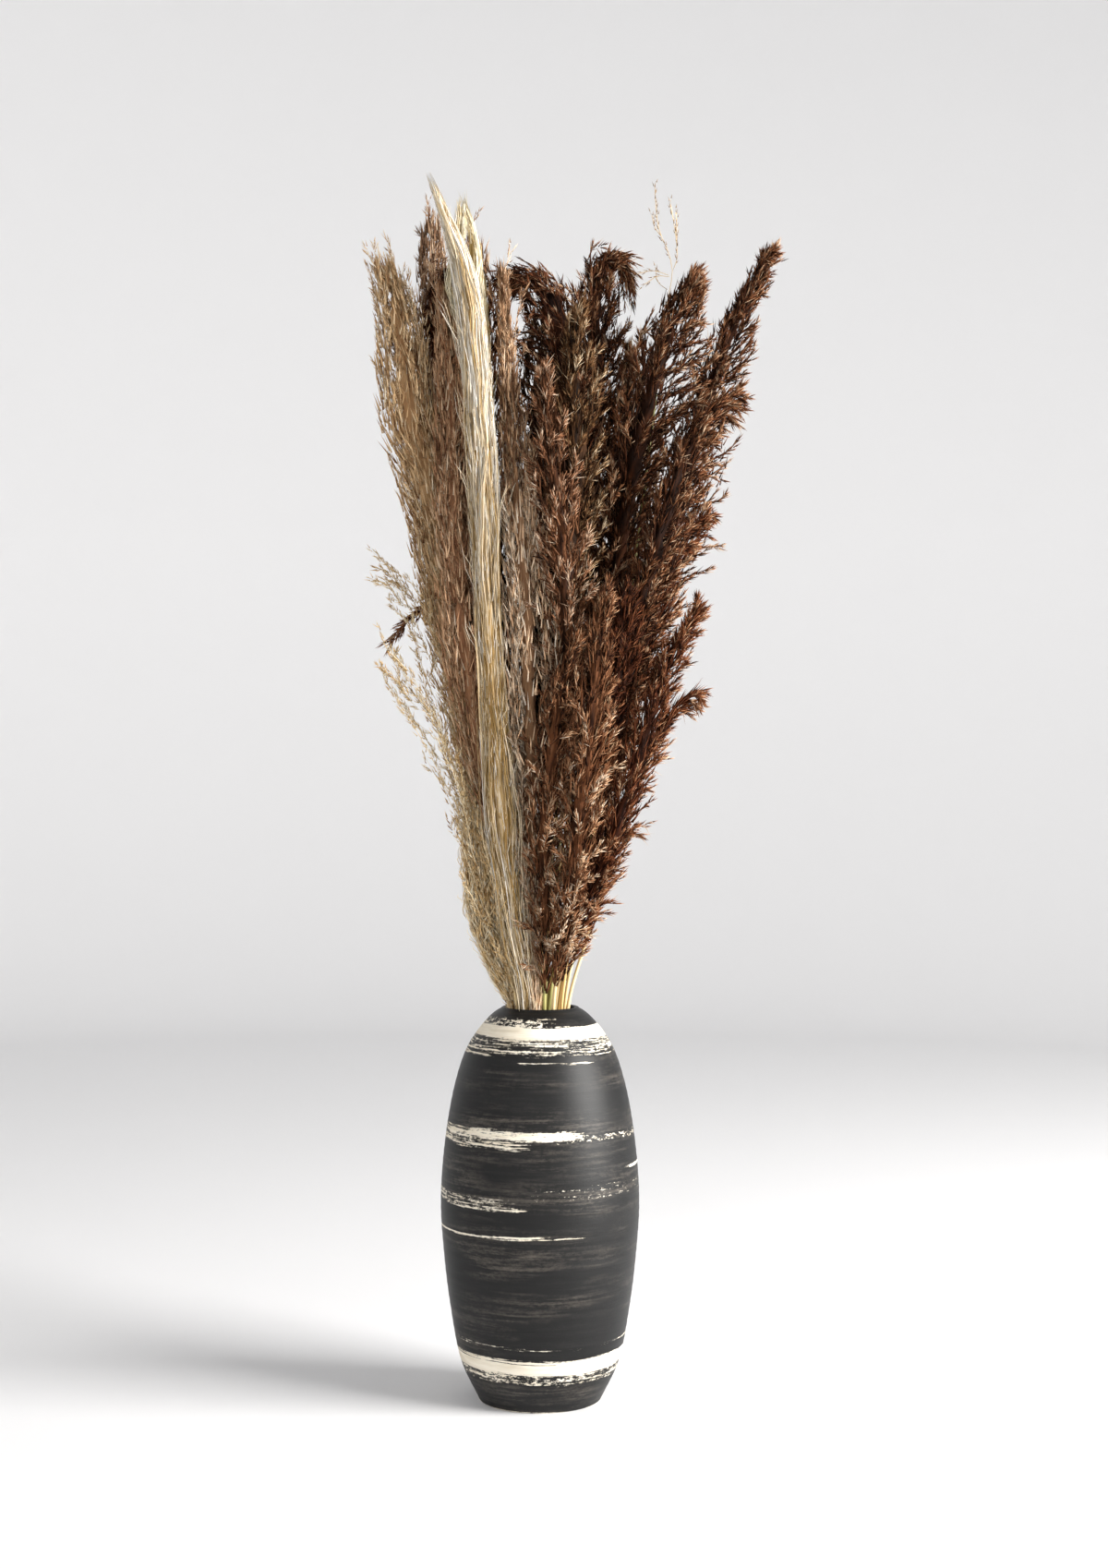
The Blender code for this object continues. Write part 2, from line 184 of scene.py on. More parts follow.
def stoneware():
    """Bare black stoneware with dry-brushed cream slip. The body is dull, a little open, and
    brown and grey by turns in lines that run round it. A band of slip is whole where the
    brush was wet, and breaks into streaks towards its edges and where the brush ran dry."""
    made, shader = new_material("black_stoneware_with_cream_slip", Specular_IOR_Level=0.3)
    place = add(made, "TexCoord", output="Object")
    height = add(made, "Math", (add(made, "SeparateXYZ", (place,), "Z"), 1 / MM), operation="MULTIPLY")
    # the way out from the axis, level with the ground
    flat = add(made, "VectorMath", (place, (1.0, 1.0, 0.0)), operation="MULTIPLY")
    outwards = add(made, "VectorMath", (flat,), operation="NORMALIZE")

    def streaks(long_mm, thick_mm, detail=5.0, roughness=0.6, move=0.0):
        """Uneven streaks round the vase, from 0 to 1: noise whose lumps are about so long
        round it and so thick in height."""
        scale = (1 / (long_mm * MM), 1 / (long_mm * MM), 1 / (thick_mm * MM))
        stretched = add(made, "Mapping", {"Vector": place, "Location": (move, move, move), "Scale": scale})
        return add(made, "TexNoise", {
            "Vector": stretched, "Scale": 1.0, "Detail": detail, "Roughness": roughness}, "Fac")

    # a brush's hairs leave lines under half a millimetre wide, drawn here as 1.3 mm so that
    # they show, and the clay's open spots are a few millimetres wide
    hairs_of_brush = streaks(38.4615, 1.31579, 6.0, 0.68)
    blotches = streaks(4.7619, 2.63158, 5.0, 0.75, 7.0)
    # a hand doesn't hold a brush quite level: strokes wander by up to 3.5 mm
    wander = streaks(142.857, 83.3333, 2.0, 0.5, 3.0)
    sway = add(made, "MapRange", {"Value": wander, "To Min": -3.5, "To Max": 3.5}, clamp=False)
    level = add(made, "Math", (height, sway), operation="ADD")

    def band(middle_mm, half_mm, wet=1.5, wear=0.8, soft_mm=2.2, blotch=0.3,
             towards=None, reach=60.0, fade=0.5):
        """How much slip there is at a height: up to wet well inside the band, less towards its
        soft edges, and less again beyond its reach, in degrees, round the vase from the side
        that it faces: 0 is the front, and 90 its right. The brush's hairs and the open clay
        then decide which places took it, as wear and blotch say: above 0 they did."""
        off = add(made, "Math", (level, middle_mm), operation="SUBTRACT")
        off = add(made, "Math", (off,), operation="ABSOLUTE")
        inside = add(made, "MapRange", {
            "Value": off, "From Min": half_mm, "From Max": half_mm - soft_mm}, clamp=False)
        amount = add(made, "Math", (inside, wet), operation="MINIMUM")
        for pattern, most in ((hairs_of_brush, 4 * wear), (blotches, 4 * blotch)):
            taken = add(made, "MapRange", {"Value": pattern, "To Min": -most, "To Max": most}, clamp=False)
            amount = add(made, "Math", (amount, taken), operation="ADD")
        if towards is not None:
            way = (np.sin(np.radians(towards)), -np.cos(np.radians(towards)), 0.0)
            facing = add(made, "VectorMath", (outwards, way), "Value", operation="DOT_PRODUCT")
            edge = np.cos(np.radians(reach))
            dry = add(made, "MapRange", {
                "Value": facing, "From Min": edge, "From Max": edge + fade, "To Max": 3.0}, clamp=False)
            dry = add(made, "Math", (dry, 0.0), operation="MINIMUM")
            amount = add(made, "Math", (amount, dry), operation="ADD")
        return amount

    slip, *others = [
        # the shoulder: one wet stroke, dry under it and blotched above it on the left
        band(331.0, 5.5, 1.6, 0.45, 1.6), band(336.5, 3.6, 0.1, 0.5, blotch=1.3, towards=-60, reach=62),
        band(319.0, 6.0, -0.1, 1.0, blotch=0.5, towards=0, reach=100),
        band(311.5, 0.8, 0.6, 0.6, 0.7, towards=-80, reach=35, fade=0.2),
        band(306.0, 0.9, 0.6, 0.9, 0.7, towards=12, reach=26, fade=0.1),
        band(343.0, 0.5, 0.1, 0.6, 0.6, towards=8, reach=10, fade=0.03),
        # the second, whole on the left, down to dabs on the right
        band(245.5, 3.6, 0.9, 0.8, 1.8, 0.5, towards=-25, reach=42, fade=0.45),
        band(248.5, 1.6, 0.0, 0.9, towards=-55, reach=45, fade=0.3),
        band(238.0, 2.6, 0.3, 0.9, blotch=0.5, towards=-62, reach=46, fade=0.4),
        band(242.5, 1.4, -0.5, 0.2, 1.3, 1.3, towards=52, reach=44, fade=0.2),
        band(213.5, 1.2, 0.8, 0.7, 1.0, towards=86, reach=20, fade=0.12),
        # thin dry strokes round the belly
        band(187.0, 3.0, -0.1, 1.0, blotch=0.6, towards=-58, reach=42, fade=0.25),
        band(182.5, 1.2, 0.4, 0.8, 1.2, 0.5, towards=-38, reach=26, fade=0.15),
        band(196.0, 2.4, -1.0, 1.0, blotch=0.9, towards=40, reach=40, fade=0.3),
        band(158.5, 0.9, 0.7, 0.5, 0.7, 0.3, towards=-50, reach=50, fade=0.3),
        band(157.0, 0.5, 0.0, 0.6, 0.7, 0.3, towards=-5, reach=30, fade=0.2),
        # the lowest, broad and wet, and the foot's edge wiped in the same slip
        band(43.5, 7.0, 1.6, 0.55, 1.8), band(34.0, 4.6, -0.1, 0.8, blotch=0.9),
        band(61.0, 0.8, -0.4, 0.9, 0.8, 0.4), band(0.5, 1.0, 0.5, 0.4, 0.6),
        # the strokes behind
        band(244.0, 4.4, 0.7, 0.9, towards=178, reach=52, fade=0.5),
        band(160.0, 3.0, 0.2, 0.9, towards=165, reach=45, fade=0.3),
        band(112.0, 1.4, 0.2, 0.8, towards=200, reach=50, fade=0.3),
    ]
    for other in others:
        slip = add(made, "Math", (slip, other), operation="MAXIMUM")
    # a hair's breadth that the brush skipped, just under the top of the lowest stroke
    skipped = band(47.5, 0.5, 0.4, 0.7, 0.8, 0.2, towards=-45, reach=55, fade=0.3)
    skipped = add(made, "Math", (skipped, 0.0), operation="MAXIMUM")
    slip = add(made, "Math", (skipped, -4.0, slip), operation="MULTIPLY_ADD")
    slip = add(made, "Math", (slip, 2.2), operation="MULTIPLY", use_clamp=True)
    # only the outside was brushed: there the surface faces away from the axis
    normal = add(made, "NewGeometry", output="Normal")
    away = add(made, "VectorMath", (outwards, normal), "Value", operation="DOT_PRODUCT")
    brushed = add(made, "Math", (away, 0.0), operation="GREATER_THAN")
    slip = add(made, "Math", (slip, brushed), operation="MULTIPLY")

    # faint dry traces, where an almost empty brush passed
    traces = add(made, "Mix", {
        "Factor": 0.3, "A": streaks(71.4286, 3.84615, 6.0, 0.7, 11.0), "B": blotches}, "Result")
    traces = add(made, "MapRange", {"Value": traces, "From Min": 0.47, "From Max": 0.63667})
    zones = add(made, "MapRange", {
        "Value": streaks(125.0, 33.3333, 3.0, 0.55, 19.0), "From Min": 0.46, "From Max": 0.62667})
    traces = add(made, "Math", (traces, zones), operation="MULTIPLY")
    # the clay's own lines round it, and its grit of half a millimetre, drawn as 2 mm so that
    # it shows
    lines, grit = streaks(83.3333, 5.26316, 6.0, 0.65), streaks(2.0, 1.42857, 3.0, 0.7, 5.0)
    mottle = add(made, "Mix", {"Factor": 0.25, "A": lines, "B": grit}, "Result")
    body = add(made, "ValToRGB", (mottle,), stops=((0.36, "#0a0a0a"), (0.52, "#101010"), (0.66, "#1d1c1b")))
    dusting = add(made, "Math", (traces, 0.42), operation="MULTIPLY")
    body = add(made, "Mix", {
        "Factor": dusting, "A": body, "B": linear("#80776d")}, "Result", data_type="RGBA")
    thickness = streaks(33.3333, 3.84615, 4.0, 0.6, 23.0)
    cream_slip = add(made, "ValToRGB", (thickness,), stops=((0.3, "#d9cdb6"), (0.6, "#efe7d6")))
    colour = add(made, "Mix", {"Factor": slip, "A": body, "B": cream_slip}, "Result", data_type="RGBA")
    rough = add(made, "MapRange", {"Value": slip, "To Min": 0.47, "To Max": 0.78})
    # the slip lies 0.12 mm proud of the clay, whose lines are up to 0.5 mm deep
    relief = add(made, "Math", (mottle, 0.5 * MM), operation="MULTIPLY")
    relief = add(made, "Math", (slip, 0.12 * MM, relief), operation="MULTIPLY_ADD")
    bump = add(made, "Bump", {"Height": relief, "Strength": 0.6, "Distance": 1.0}, "Normal")
    for socket, value in (("Base Color", colour), ("Roughness", rough), ("Normal", bump)):
        made.node_tree.links.new(value, shader.inputs[socket])
    return made


vase_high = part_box("vase")[1]
scale = vase_high.z / DRAWN_HEIGHT
outside = smooth_line((
    (55, 1.5), (70.5, 34), (80.5, 84), (86.5, 134), (89, 178), (85, 233), (76, 283), (65, 315),
    (50, 336.5), (40, NECK_MM), (35, RIM_MM)), OUTSIDE_ROWS)
height = outside[:, 1]
ripple = np.sin(height / THROWING_PITCH_MM * 2 * np.pi + 2 * np.sin(height / THROWING_SWAY_MM))
ringed = np.clip(height / RINGS_FADE_MM, 0, 1) * np.clip((NECK_MM - height) / RINGS_FADE_MM, 0, 1)
outside[:, 0] -= THROWING_DEPTH_MM * (1 + ripple) / 2 * ringed
inside = smooth_line((
    (31, RIM_MM), (39, 341), (59, 313), (70, 277), (79, 230), (83, 178), (74.5, 88), (64.5, 40),
    (52, 15), (40, FLOOR_MM)), INSIDE_ROWS)
# the lip is the upper half of an ellipse, 4 mm wide, and the foot's edge is rounded
angle = np.linspace(0, np.pi, 7)[1:-1]
lip = np.stack([33 + 2 * np.cos(angle), RIM_MM + 1.2 * np.sin(angle)], axis=1)
foot = ((AXIS_MM, 0.0), (52.5, 0.0), (54, 0.3), (54.8, 0.9))
profile = np.vstack([foot, outside, lip, inside, [[AXIS_MM, FLOOR_MM]]]) * MM * scale
poles = np.array([[0, 0, 0], [0, 0, FLOOR_MM * MM * scale]])
corners = np.vstack([turned(profile, VASE_SIDES), poles])
vase = mesh_piece("vase_body", corners, closed_rings(len(profile), VASE_SIDES), stoneware())
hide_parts("vase")


# ---------------------------------------------------------------------------------------
# Stems. Dry grass culms, hollow and straw-coloured, with a joint every hand's breadth where
# a leaf sheath was stripped off. They stand on the floor of the vase and lean on its lip.
# ---------------------------------------------------------------------------------------
CULM_SIDES = 9
CULM_ROW_MM = 9.0
JOINT_EVERY_MM = 115.0
JOINT_STAGGER_M = 0.037      # from one culm's first joint to the next one's
JOINT_SWELLING = 0.22
JOINT_LENGTH = 0.035         # a share of the way from joint to joint
HALF_GIRTH_MM, CULM_MM = 5.8, 475.0            # of a middling culm
STRAW_LINE_MM, STRAW_STREAK_MM = 0.6444, 95.0  # real lines are finer, and wouldn't show
STRAW_ORDER = (0, 1, 0, 2, 1)


def cad_rings(node, near=None, reach=6 * MM):
    """The centres and radii of a swept solid's rings, from its foot to its tip. The foot is
    all the corners within reach of a place, or else of the lowest corner; each further ring
    is one edge further away."""
    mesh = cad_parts[node].data
    places = np.empty(len(mesh.vertices) * 3, np.float32)
    mesh.vertices.foreach_get("co", places)
    loops = np.empty(len(mesh.loops), np.int32)
    mesh.loops.foreach_get("vertex_index", loops)
    places, same = np.unique(np.round(places.reshape(-1, 3).astype(float), 5), axis=0, return_inverse=True)
    corners = same.ravel()[loops].reshape(-1, 3)
    edges = np.vstack([corners[:, [0, 1]], corners[:, [1, 2]], corners[:, [2, 0]]])
    edges = np.vstack([edges, edges[:, ::-1]])
    if near is None:
        near = places[places[:, 2].argmin()]
    level = np.where(np.linalg.norm(places - near, axis=1) < reach, 0, -1)
    while (level < 0).any():
        found = edges[(level[edges[:, 0]] >= 0) & (level[edges[:, 1]] < 0), 1]
        level[found] = level.max() + 1
    count = np.bincount(level)[:, None]
    centres = np.stack([np.bincount(level, axis) for axis in places.T], axis=1) / count
    spokes = np.linalg.norm(places - centres[level], axis=1)
    return centres, np.bincount(level, spokes) / count[:, 0]


def swept(line, radii, sides):
    """A closed round tube along a line: at each place a ring of the given radius stands
    across the line, and both ends close in a point. Its uv runs from 0 to 1 along it."""
    ahead = np.gradient(line, axis=0)
    ahead /= np.linalg.norm(ahead, axis=1, keepdims=True)
    out = np.cross(ahead, (0.0, 1.0, 0.0))
    out /= np.linalg.norm(out, axis=1, keepdims=True)
    side = np.cross(ahead, out)
    angle = np.arange(sides) * 2 * np.pi / sides
    ring = out[:, None] * np.cos(angle)[:, None] + side[:, None] * np.sin(angle)[:, None]
    corners = (line[:, None] + ring * radii[:, None, None]).reshape(-1, 3)
    share = np.repeat(np.linspace(0, 1, len(line)), sides)
    uv = np.stack([np.tile(np.abs(np.linspace(-1, 1, sides, endpoint=False)), len(line)), share], 1)
    corners = np.vstack([corners, line[:1], line[-1:]])
    uv = np.vstack([uv, [[0.5, 0.0], [0.5, 1.0]]])
    return corners, closed_rings(len(line), sides), uv


def straw(name, pale, deep):
    """Dry straw: a waxy, faintly shiny skin, with fine lines of a deeper tone along it. The
    uv's u runs over half of a culm's girth, and its v over all its length."""
    made, shader = new_material(name, Roughness=0.42)
    along = add(made, "UVMap", uv_map="OFBake")
    scale = (HALF_GIRTH_MM / STRAW_LINE_MM, CULM_MM / STRAW_STREAK_MM, 1.0)
    lines = add(made, "Mapping", {"Vector": along, "Scale": scale})
    grain = add(made, "TexNoise", {"Vector": lines, "Scale": 1.0, "Detail": 4.0}, "Fac")
    tone = add(made, "ValToRGB", (grain,), stops=((0.3, deep), (0.7, pale)))
    made.node_tree.links.new(tone, shader.inputs["Base Color"])
    return made


# ripe culms bleach from gold to pale, and one cut early keeps a little green
straws = (
    straw("dry_golden_straw", "#e2c183", "#b48d4f"),
    straw("dry_pale_straw", "#eddcae", "#cfae74"),
    straw("dry_green_tinged_straw", "#b7b070", "#8a8a4d"),
)
stem_nodes = sorted(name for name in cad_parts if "_stem_" in name)
for number, node in enumerate(stem_nodes):
    centres, radii = cad_rings(node)
    length = np.linalg.norm(np.diff(centres, axis=0), axis=1).sum()
    line = smooth_line(np.column_stack([centres, radii]), max(8, int(length / (CULM_ROW_MM * MM))))
    along = np.linspace(0, length, len(line)) + JOINT_STAGGER_M * number
    phase = along / (JOINT_EVERY_MM * MM) % 1.0
    swelling = 1 + JOINT_SWELLING * np.exp(-((phase - 0.5) / JOINT_LENGTH) ** 2)
    corners, faces, uv = swept(line[:, :3], line[:, 3] * swelling, CULM_SIDES)
    tint = straws[STRAW_ORDER[number % len(STRAW_ORDER)]]
    culm = mesh_piece(node.replace("_stem_", "_culm_"), corners, faces, tint, uv)
    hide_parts(node)


# ---------------------------------------------------------------------------------------
# Reed plumes. The dark, bushy heads of common reed, cut in seed and dried: tassels leave the
# stalk all round, rise along it and nod, and each is packed with pointed husks and silk.
# ---------------------------------------------------------------------------------------
GOLDEN_ANGLE = 2.39996
EVEN = (0.0, 0.0, 0.0)       # heavy on no side, drifting no way
UV_WIDTH = 0.004             # of a fibre's own strip of tone
THREE_SIDES = np.array((0.0, 2.0, 4.0)) * np.pi / 3


def unit(vectors):
    """Each vector divided by its length."""
    return vectors / np.maximum(np.linalg.norm(vectors, axis=-1, keepdims=True), 1e-12)


def aside(ahead, draw):
    """Directions square to the given ones (n, 3), turned at random round them."""
    return unit(np.cross(ahead, draw.normal(size=ahead.shape)))


def blades(lines, widths, tones, draw, flatness=0.8):
    """Closed three-sided fibres. lines is (n, k, 3): the first and last places are points, and
    a triangle stands across each place between, as wide as widths there and flattened. The
    uv is the fibre's tone across and its length along, so a colour can follow both."""
    n, k = lines.shape[:2]
    ahead = unit(np.gradient(lines, axis=1))
    across = unit(np.cross(ahead, draw.normal(size=(n, 1, 3))))
    through = np.cross(ahead, across)
    widths = np.broadcast_to(widths, (n, k - 2))[:, :, None, None] / 2
    section = (across[:, 1:-1, None] * np.cos(THREE_SIDES)[:, None]
               + flatness * through[:, 1:-1, None] * np.sin(THREE_SIDES)[:, None])
    rings = lines[:, 1:-1, None] + widths * section
    corners = np.concatenate([lines[:, :1], rings.reshape(n, -1, 3), lines[:, -1:]], axis=1)
    top = 3 * (k - 2) + 1
    faces = []
    for a, b in ((1, 2), (2, 3), (3, 1)):
        faces += [(0, b, a), (top - 4 + a, top - 4 + b, top)]
        for row in range(0, 3 * (k - 3), 3):
            faces += [(row + a, row + b, row + b + 3), (row + a, row + b + 3, row + a + 3)]
    faces = (np.array(faces)[None] + np.arange(n)[:, None, None] * (top + 1)).reshape(-1, 3)
    u = np.concatenate([[0.0], np.tile((-1.0, 0.0, 1.0), k - 2), [0.0]]) * UV_WIDTH
    v = np.concatenate([[0.0], np.repeat(np.linspace(0, 1, k)[1:-1], 3), [1.0]])
    uv = np.stack(np.broadcast_arrays(np.clip(tones, 0, 1)[:, None] + u, v[None]), axis=2)
    return corners.reshape(-1, 3), faces, np.clip(uv, 0.0, 1.0).reshape(-1, 2)


def hairs(feet, tips, widths, tones, draw):
    """Straight closed hairs with four faces: a small triangle at the foot, a point at the tip."""
    n = len(feet)
    ahead = unit(tips - feet)
    across = aside(ahead, draw)
    through = np.cross(ahead, across)
    section = (across[:, None] * np.cos(THREE_SIDES)[:, None]
               + through[:, None] * np.sin(THREE_SIDES)[:, None])
    base = feet[:, None] + section * (np.broadcast_to(widths, n) / 2)[:, None, None]
    corners = np.concatenate([base, tips[:, None]], axis=1).reshape(-1, 3)
    faces = np.array(((0, 2, 1), (0, 1, 3), (1, 2, 3), (2, 0, 3)))
    faces = (faces[None] + np.arange(n)[:, None, None] * 4).reshape(-1, 3)
    u = np.clip(tones, 0, 1)[:, None] + np.array((-1.0, 0.0, 1.0, 0.0)) * UV_WIDTH
    v = np.broadcast_to((0.02, 0.08, 0.02, 1.0), (n, 4))
    return corners, faces, np.clip(np.stack([u, v], axis=2), 0.0, 1.0).reshape(-1, 2)


def tufts(feet, aims, sizes, each, fan, width_mm, tones, spread, draw):
    """Tufts of pointed hairs. A tuft's hairs leave its short axis one after another, the first
    leaning out by the fan and the last hardly at all, so that they close in a point."""
    n = len(feet)
    s = (np.arange(each) + draw.uniform(0, 1, (n, each))) / each
    across = unit(np.cross(aims[:, None], draw.normal(size=(n, each, 3))))
    lean = fan * (1.15 - s) * draw.uniform(0.5, 1.5, (n, each))
    start = feet[:, None] + aims[:, None] * (sizes[:, None] * s * 0.6)[..., None]
    length = sizes[:, None] * (0.62 - 0.22 * s)
    tip = start + unit(aims[:, None] + across * lean[..., None]) * length[..., None]
    own = np.clip(tones[:, None] + spread * draw.normal(size=(n, each)), 0.01, 0.99)
    return hairs(start.reshape(-1, 3), tip.reshape(-1, 3), width_mm * MM, own.ravel(), draw)


def heart(stalk, low, high, share_of_bush, tone, draw, sides=12, row_mm=9.0, streak=0.06, lump=0.16):
    """The matted inside of a plume: a closed lumpy tube well inside its hairs, which keeps daylight out of
    it, in a dark tone that is painted shade between the tufts. Its radius is a share of the bush's, times 1
    plus uneven noise, and its tone wanders round it and more slowly along it."""
    rows = max(6, int((high - low) * stalk.length / (row_mm * MM)))
    share = np.linspace(low, high, rows)
    line = stalk.at(share)[:, :3]
    taper = np.sin(np.linspace(0.12, np.pi - 0.12, rows)) ** 0.5
    corners, faces, uv = swept(line, stalk.bush(share) * share_of_bush * taper, sides)
    walls = corners[:-2].reshape(rows, sides, 3)
    lumps = 1 + draw.normal(0, lump, (rows, sides, 1))
    corners[:-2] = (line[:, None] + (walls - line[:, None]) * lumps).reshape(-1, 3)
    wander = draw.normal(0, 1, (rows, sides))
    for _ in range(3):
        wander = (wander + np.roll(wander, 1, axis=0)) / 1.6
    uv[:-2, 0] = tone + streak * wander.ravel()
    uv[-2:, 0] = tone
    uv[:, 0] = np.clip(uv[:, 0], 0.0, 1.0)
    uv[:, 1] = 0.3 + 0.4 * uv[:, 1]
    return corners, faces, uv


def ruff(stalk, draw, count, low, high, depths, size_mm, width_mm, splay, tone, spread, heavy=EVEN):
    """Fine silk over a plume: hairs rooted at random in its outer part, leaning forwards along it and
    outwards by up to the splay, each with its own tone, painted darker the deeper it is rooted, as shade
    inside the plume."""
    share = draw.uniform(low, high, count)
    angle = draw.uniform(0, 2 * np.pi, count)
    depth = draw.uniform(*depths, count)
    foot = stalk.beside(share, angle, depth * stalk.bush(share), heavy)
    further = stalk.beside(share + 0.03, angle + draw.normal(0, 0.12, count),
                           depth * stalk.bush(share + 0.03), heavy)
    out = unit(foot - stalk.at(share)[:, :3])
    aim = unit(further - foot) + out * draw.uniform(0, splay, (count, 1)) + draw.normal(0, 0.09, (count, 3))
    tip = foot + unit(aim) * draw.uniform(*size_mm, (count, 1)) * MM
    # deeper hairs are painted darker: painted shade inside the plume
    tones = tone + spread * draw.normal(size=count) + 0.15 * (depth - 0.7)
    return hairs(foot, tip, width_mm * MM, tones, draw)


def joined(parts):
    """Several (corners, faces, uv) as one."""
    starts = np.cumsum([0] + [len(part[0]) for part in parts[:-1]])
    return (np.vstack([part[0] for part in parts]),
            np.vstack([part[1] + start for part, start in zip(parts, starts)]),
            np.vstack([part[2] for part in parts]))


class Stalk:
    """A stalk as its two solids give it. A place on it is a share of the plume's length, 0 at
    the plume's foot and 1 at its tip, and the culm under the plume has shares below 0. Its
    fibres stand beyond its solid by growth factors, evenly spaced from the plume's foot to
    its tip, and then by some fluff."""

    def __init__(self, node, growth, fluff_mm):
        culm, culm_radii = cad_rings(node.replace("_plume_", "_stem_"))
        head, head_radii = cad_rings(node, culm[-1], 7 * MM)
        rings = np.vstack([np.column_stack([culm, culm_radii]), np.column_stack([head, head_radii])])
        self.line = smooth_line(rings, 320)
        along = np.linalg.norm(np.diff(self.line[:, :3], axis=0), axis=1)
        along = np.concatenate([[0], np.cumsum(along)])
        foot = along[np.linalg.norm(self.line[:, :3] - head[0], axis=1).argmin()]
        self.length = along[-1] - foot
        self.share = (along - foot) / self.length
        self.growth, self.fluff = growth, fluff_mm * MM
        # beyond its tip it runs straight on
        ahead = unit(self.line[-1, :3] - self.line[-4, :3]) * self.length * 0.3
        self.line = np.vstack([self.line, np.append(self.line[-1, :3] + ahead, self.line[-1, 3])])
        self.share = np.append(self.share, 1.3)

    def at(self, share):
        """Places on the centre line and the solid's radius there, as (x, y, z, radius)."""
        return np.stack([np.interp(share, self.share, axis) for axis in self.line.T], axis=-1)

    def bush(self, share):
        """How far the fibres stand out: the solid's radius times its growth, plus the fluff,
        which is thin at the plume's foot and at its tip."""
        fluff = np.interp(share, (-0.1, 0.08, 0.85, 1.0), (0.25, 1.0, 1.0, 0.15))
        solid = np.interp(share, self.share, self.line[:, 3])
        return np.interp(share, np.linspace(0, 1, len(self.growth)), self.growth) * solid + self.fluff * fluff

    def beside(self, share, angle, reach, heavy=EVEN):
        """Places a distance away from the centre line, at an angle round it. On a plume that
        is heavy on one side, they lie further out on that side and closer on the other."""
        here = self.at(share)[..., :3]
        ahead = unit(self.at(share + 0.01)[..., :3] - self.at(share - 0.01)[..., :3])
        out = unit(np.cross(ahead, np.array((0.0, 1.0, 0.0))))
        side = np.cross(ahead, out)
        away = out * np.cos(angle)[..., None] + side * np.sin(angle)[..., None]
        return here + away * np.asarray(reach)[..., None] * (1 + (away * heavy).sum(axis=-1, keepdims=True))


def along_lines(lines, t):
    """Places and directions, (n m, 3) each, at shares t (n, m) along lines (n, k, 3)."""
    n, k = lines.shape[:2]
    spot = np.clip(t, 0, 0.9999) * (k - 1)
    low = spot.astype(int)
    part = (spot - low)[..., None]
    row = np.arange(n)[:, None]
    a, b = lines[row, low], lines[row, low + 1]
    return (a + (b - a) * part).reshape(-1, 3), unit(b - a).reshape(-1, 3)


def spaced(count, each, draw):
    """Shares (count, each) from 0 to 1, one at random in each of equal stretches."""
    return (np.arange(each) + draw.uniform(0, 1, (count, each))) / each


def fibre_finish(name, colours, tip_highlight_gain, roughness=0.75):
    """Dry plant fibre, dull. Its colours run evenly by each fibre's tone, from the painted shade of the
    plume's heart to its lit outermost hairs. Each fibre is also painted lighter from root to tip: painted
    shade at the root and a painted highlight at the tip."""
    made, shader = new_material(name, Roughness=roughness, Specular_IOR_Level=0.12)
    own = add(made, "SeparateXYZ", (add(made, "UVMap", uv_map="OFBake"),)).node.outputs
    stops = tuple(zip(np.linspace(0, 1, len(colours)), colours))
    tone = add(made, "ValToRGB", (own["X"],), stops=stops)
    # painted light: darker at each fibre's root, as shade, and brighter by the gain at its tip, as a painted
    # highlight
    painted_tip_light = add(made, "MapRange", {"Value": own["Y"], "From Min": 0.1, "To Min": 0.7, "To Max": tip_highlight_gain})
    shade = add(made, "VectorMath", (tone, painted_tip_light), operation="MULTIPLY")
    made.node_tree.links.new(shade, shader.inputs["Base Color"])
    return made


BRANCHES_PER_M = 31.0        # and for each mm of the plume's radius
BRANCH_MM = (28.0, 54.0)
BRANCH_WIDTHS_MM = (2.0, 1.6)
DROOP = 0.1                  # how far a branch hangs, of its length, where the stalk is upright
NOD = 1.1                    # and how much further where the stalk lies flat
TUFTS_EACH = 9
TUFTS_FROM, TUFTS_OVER = 0.34, 0.62  # of a branch's length
TUFT_MM = (10.0, 17.0)
HUSKS_EACH = 4
HUSK_WIDTH_MM = 1.35         # real husks and silk are finer, and wouldn't show
SILK_MM, SILK_WIDTH_MM = (8.0, 15.0), 0.8
MATTED_MM, MATTED_WIDTH_MM = (11.0, 20.0), 1.6


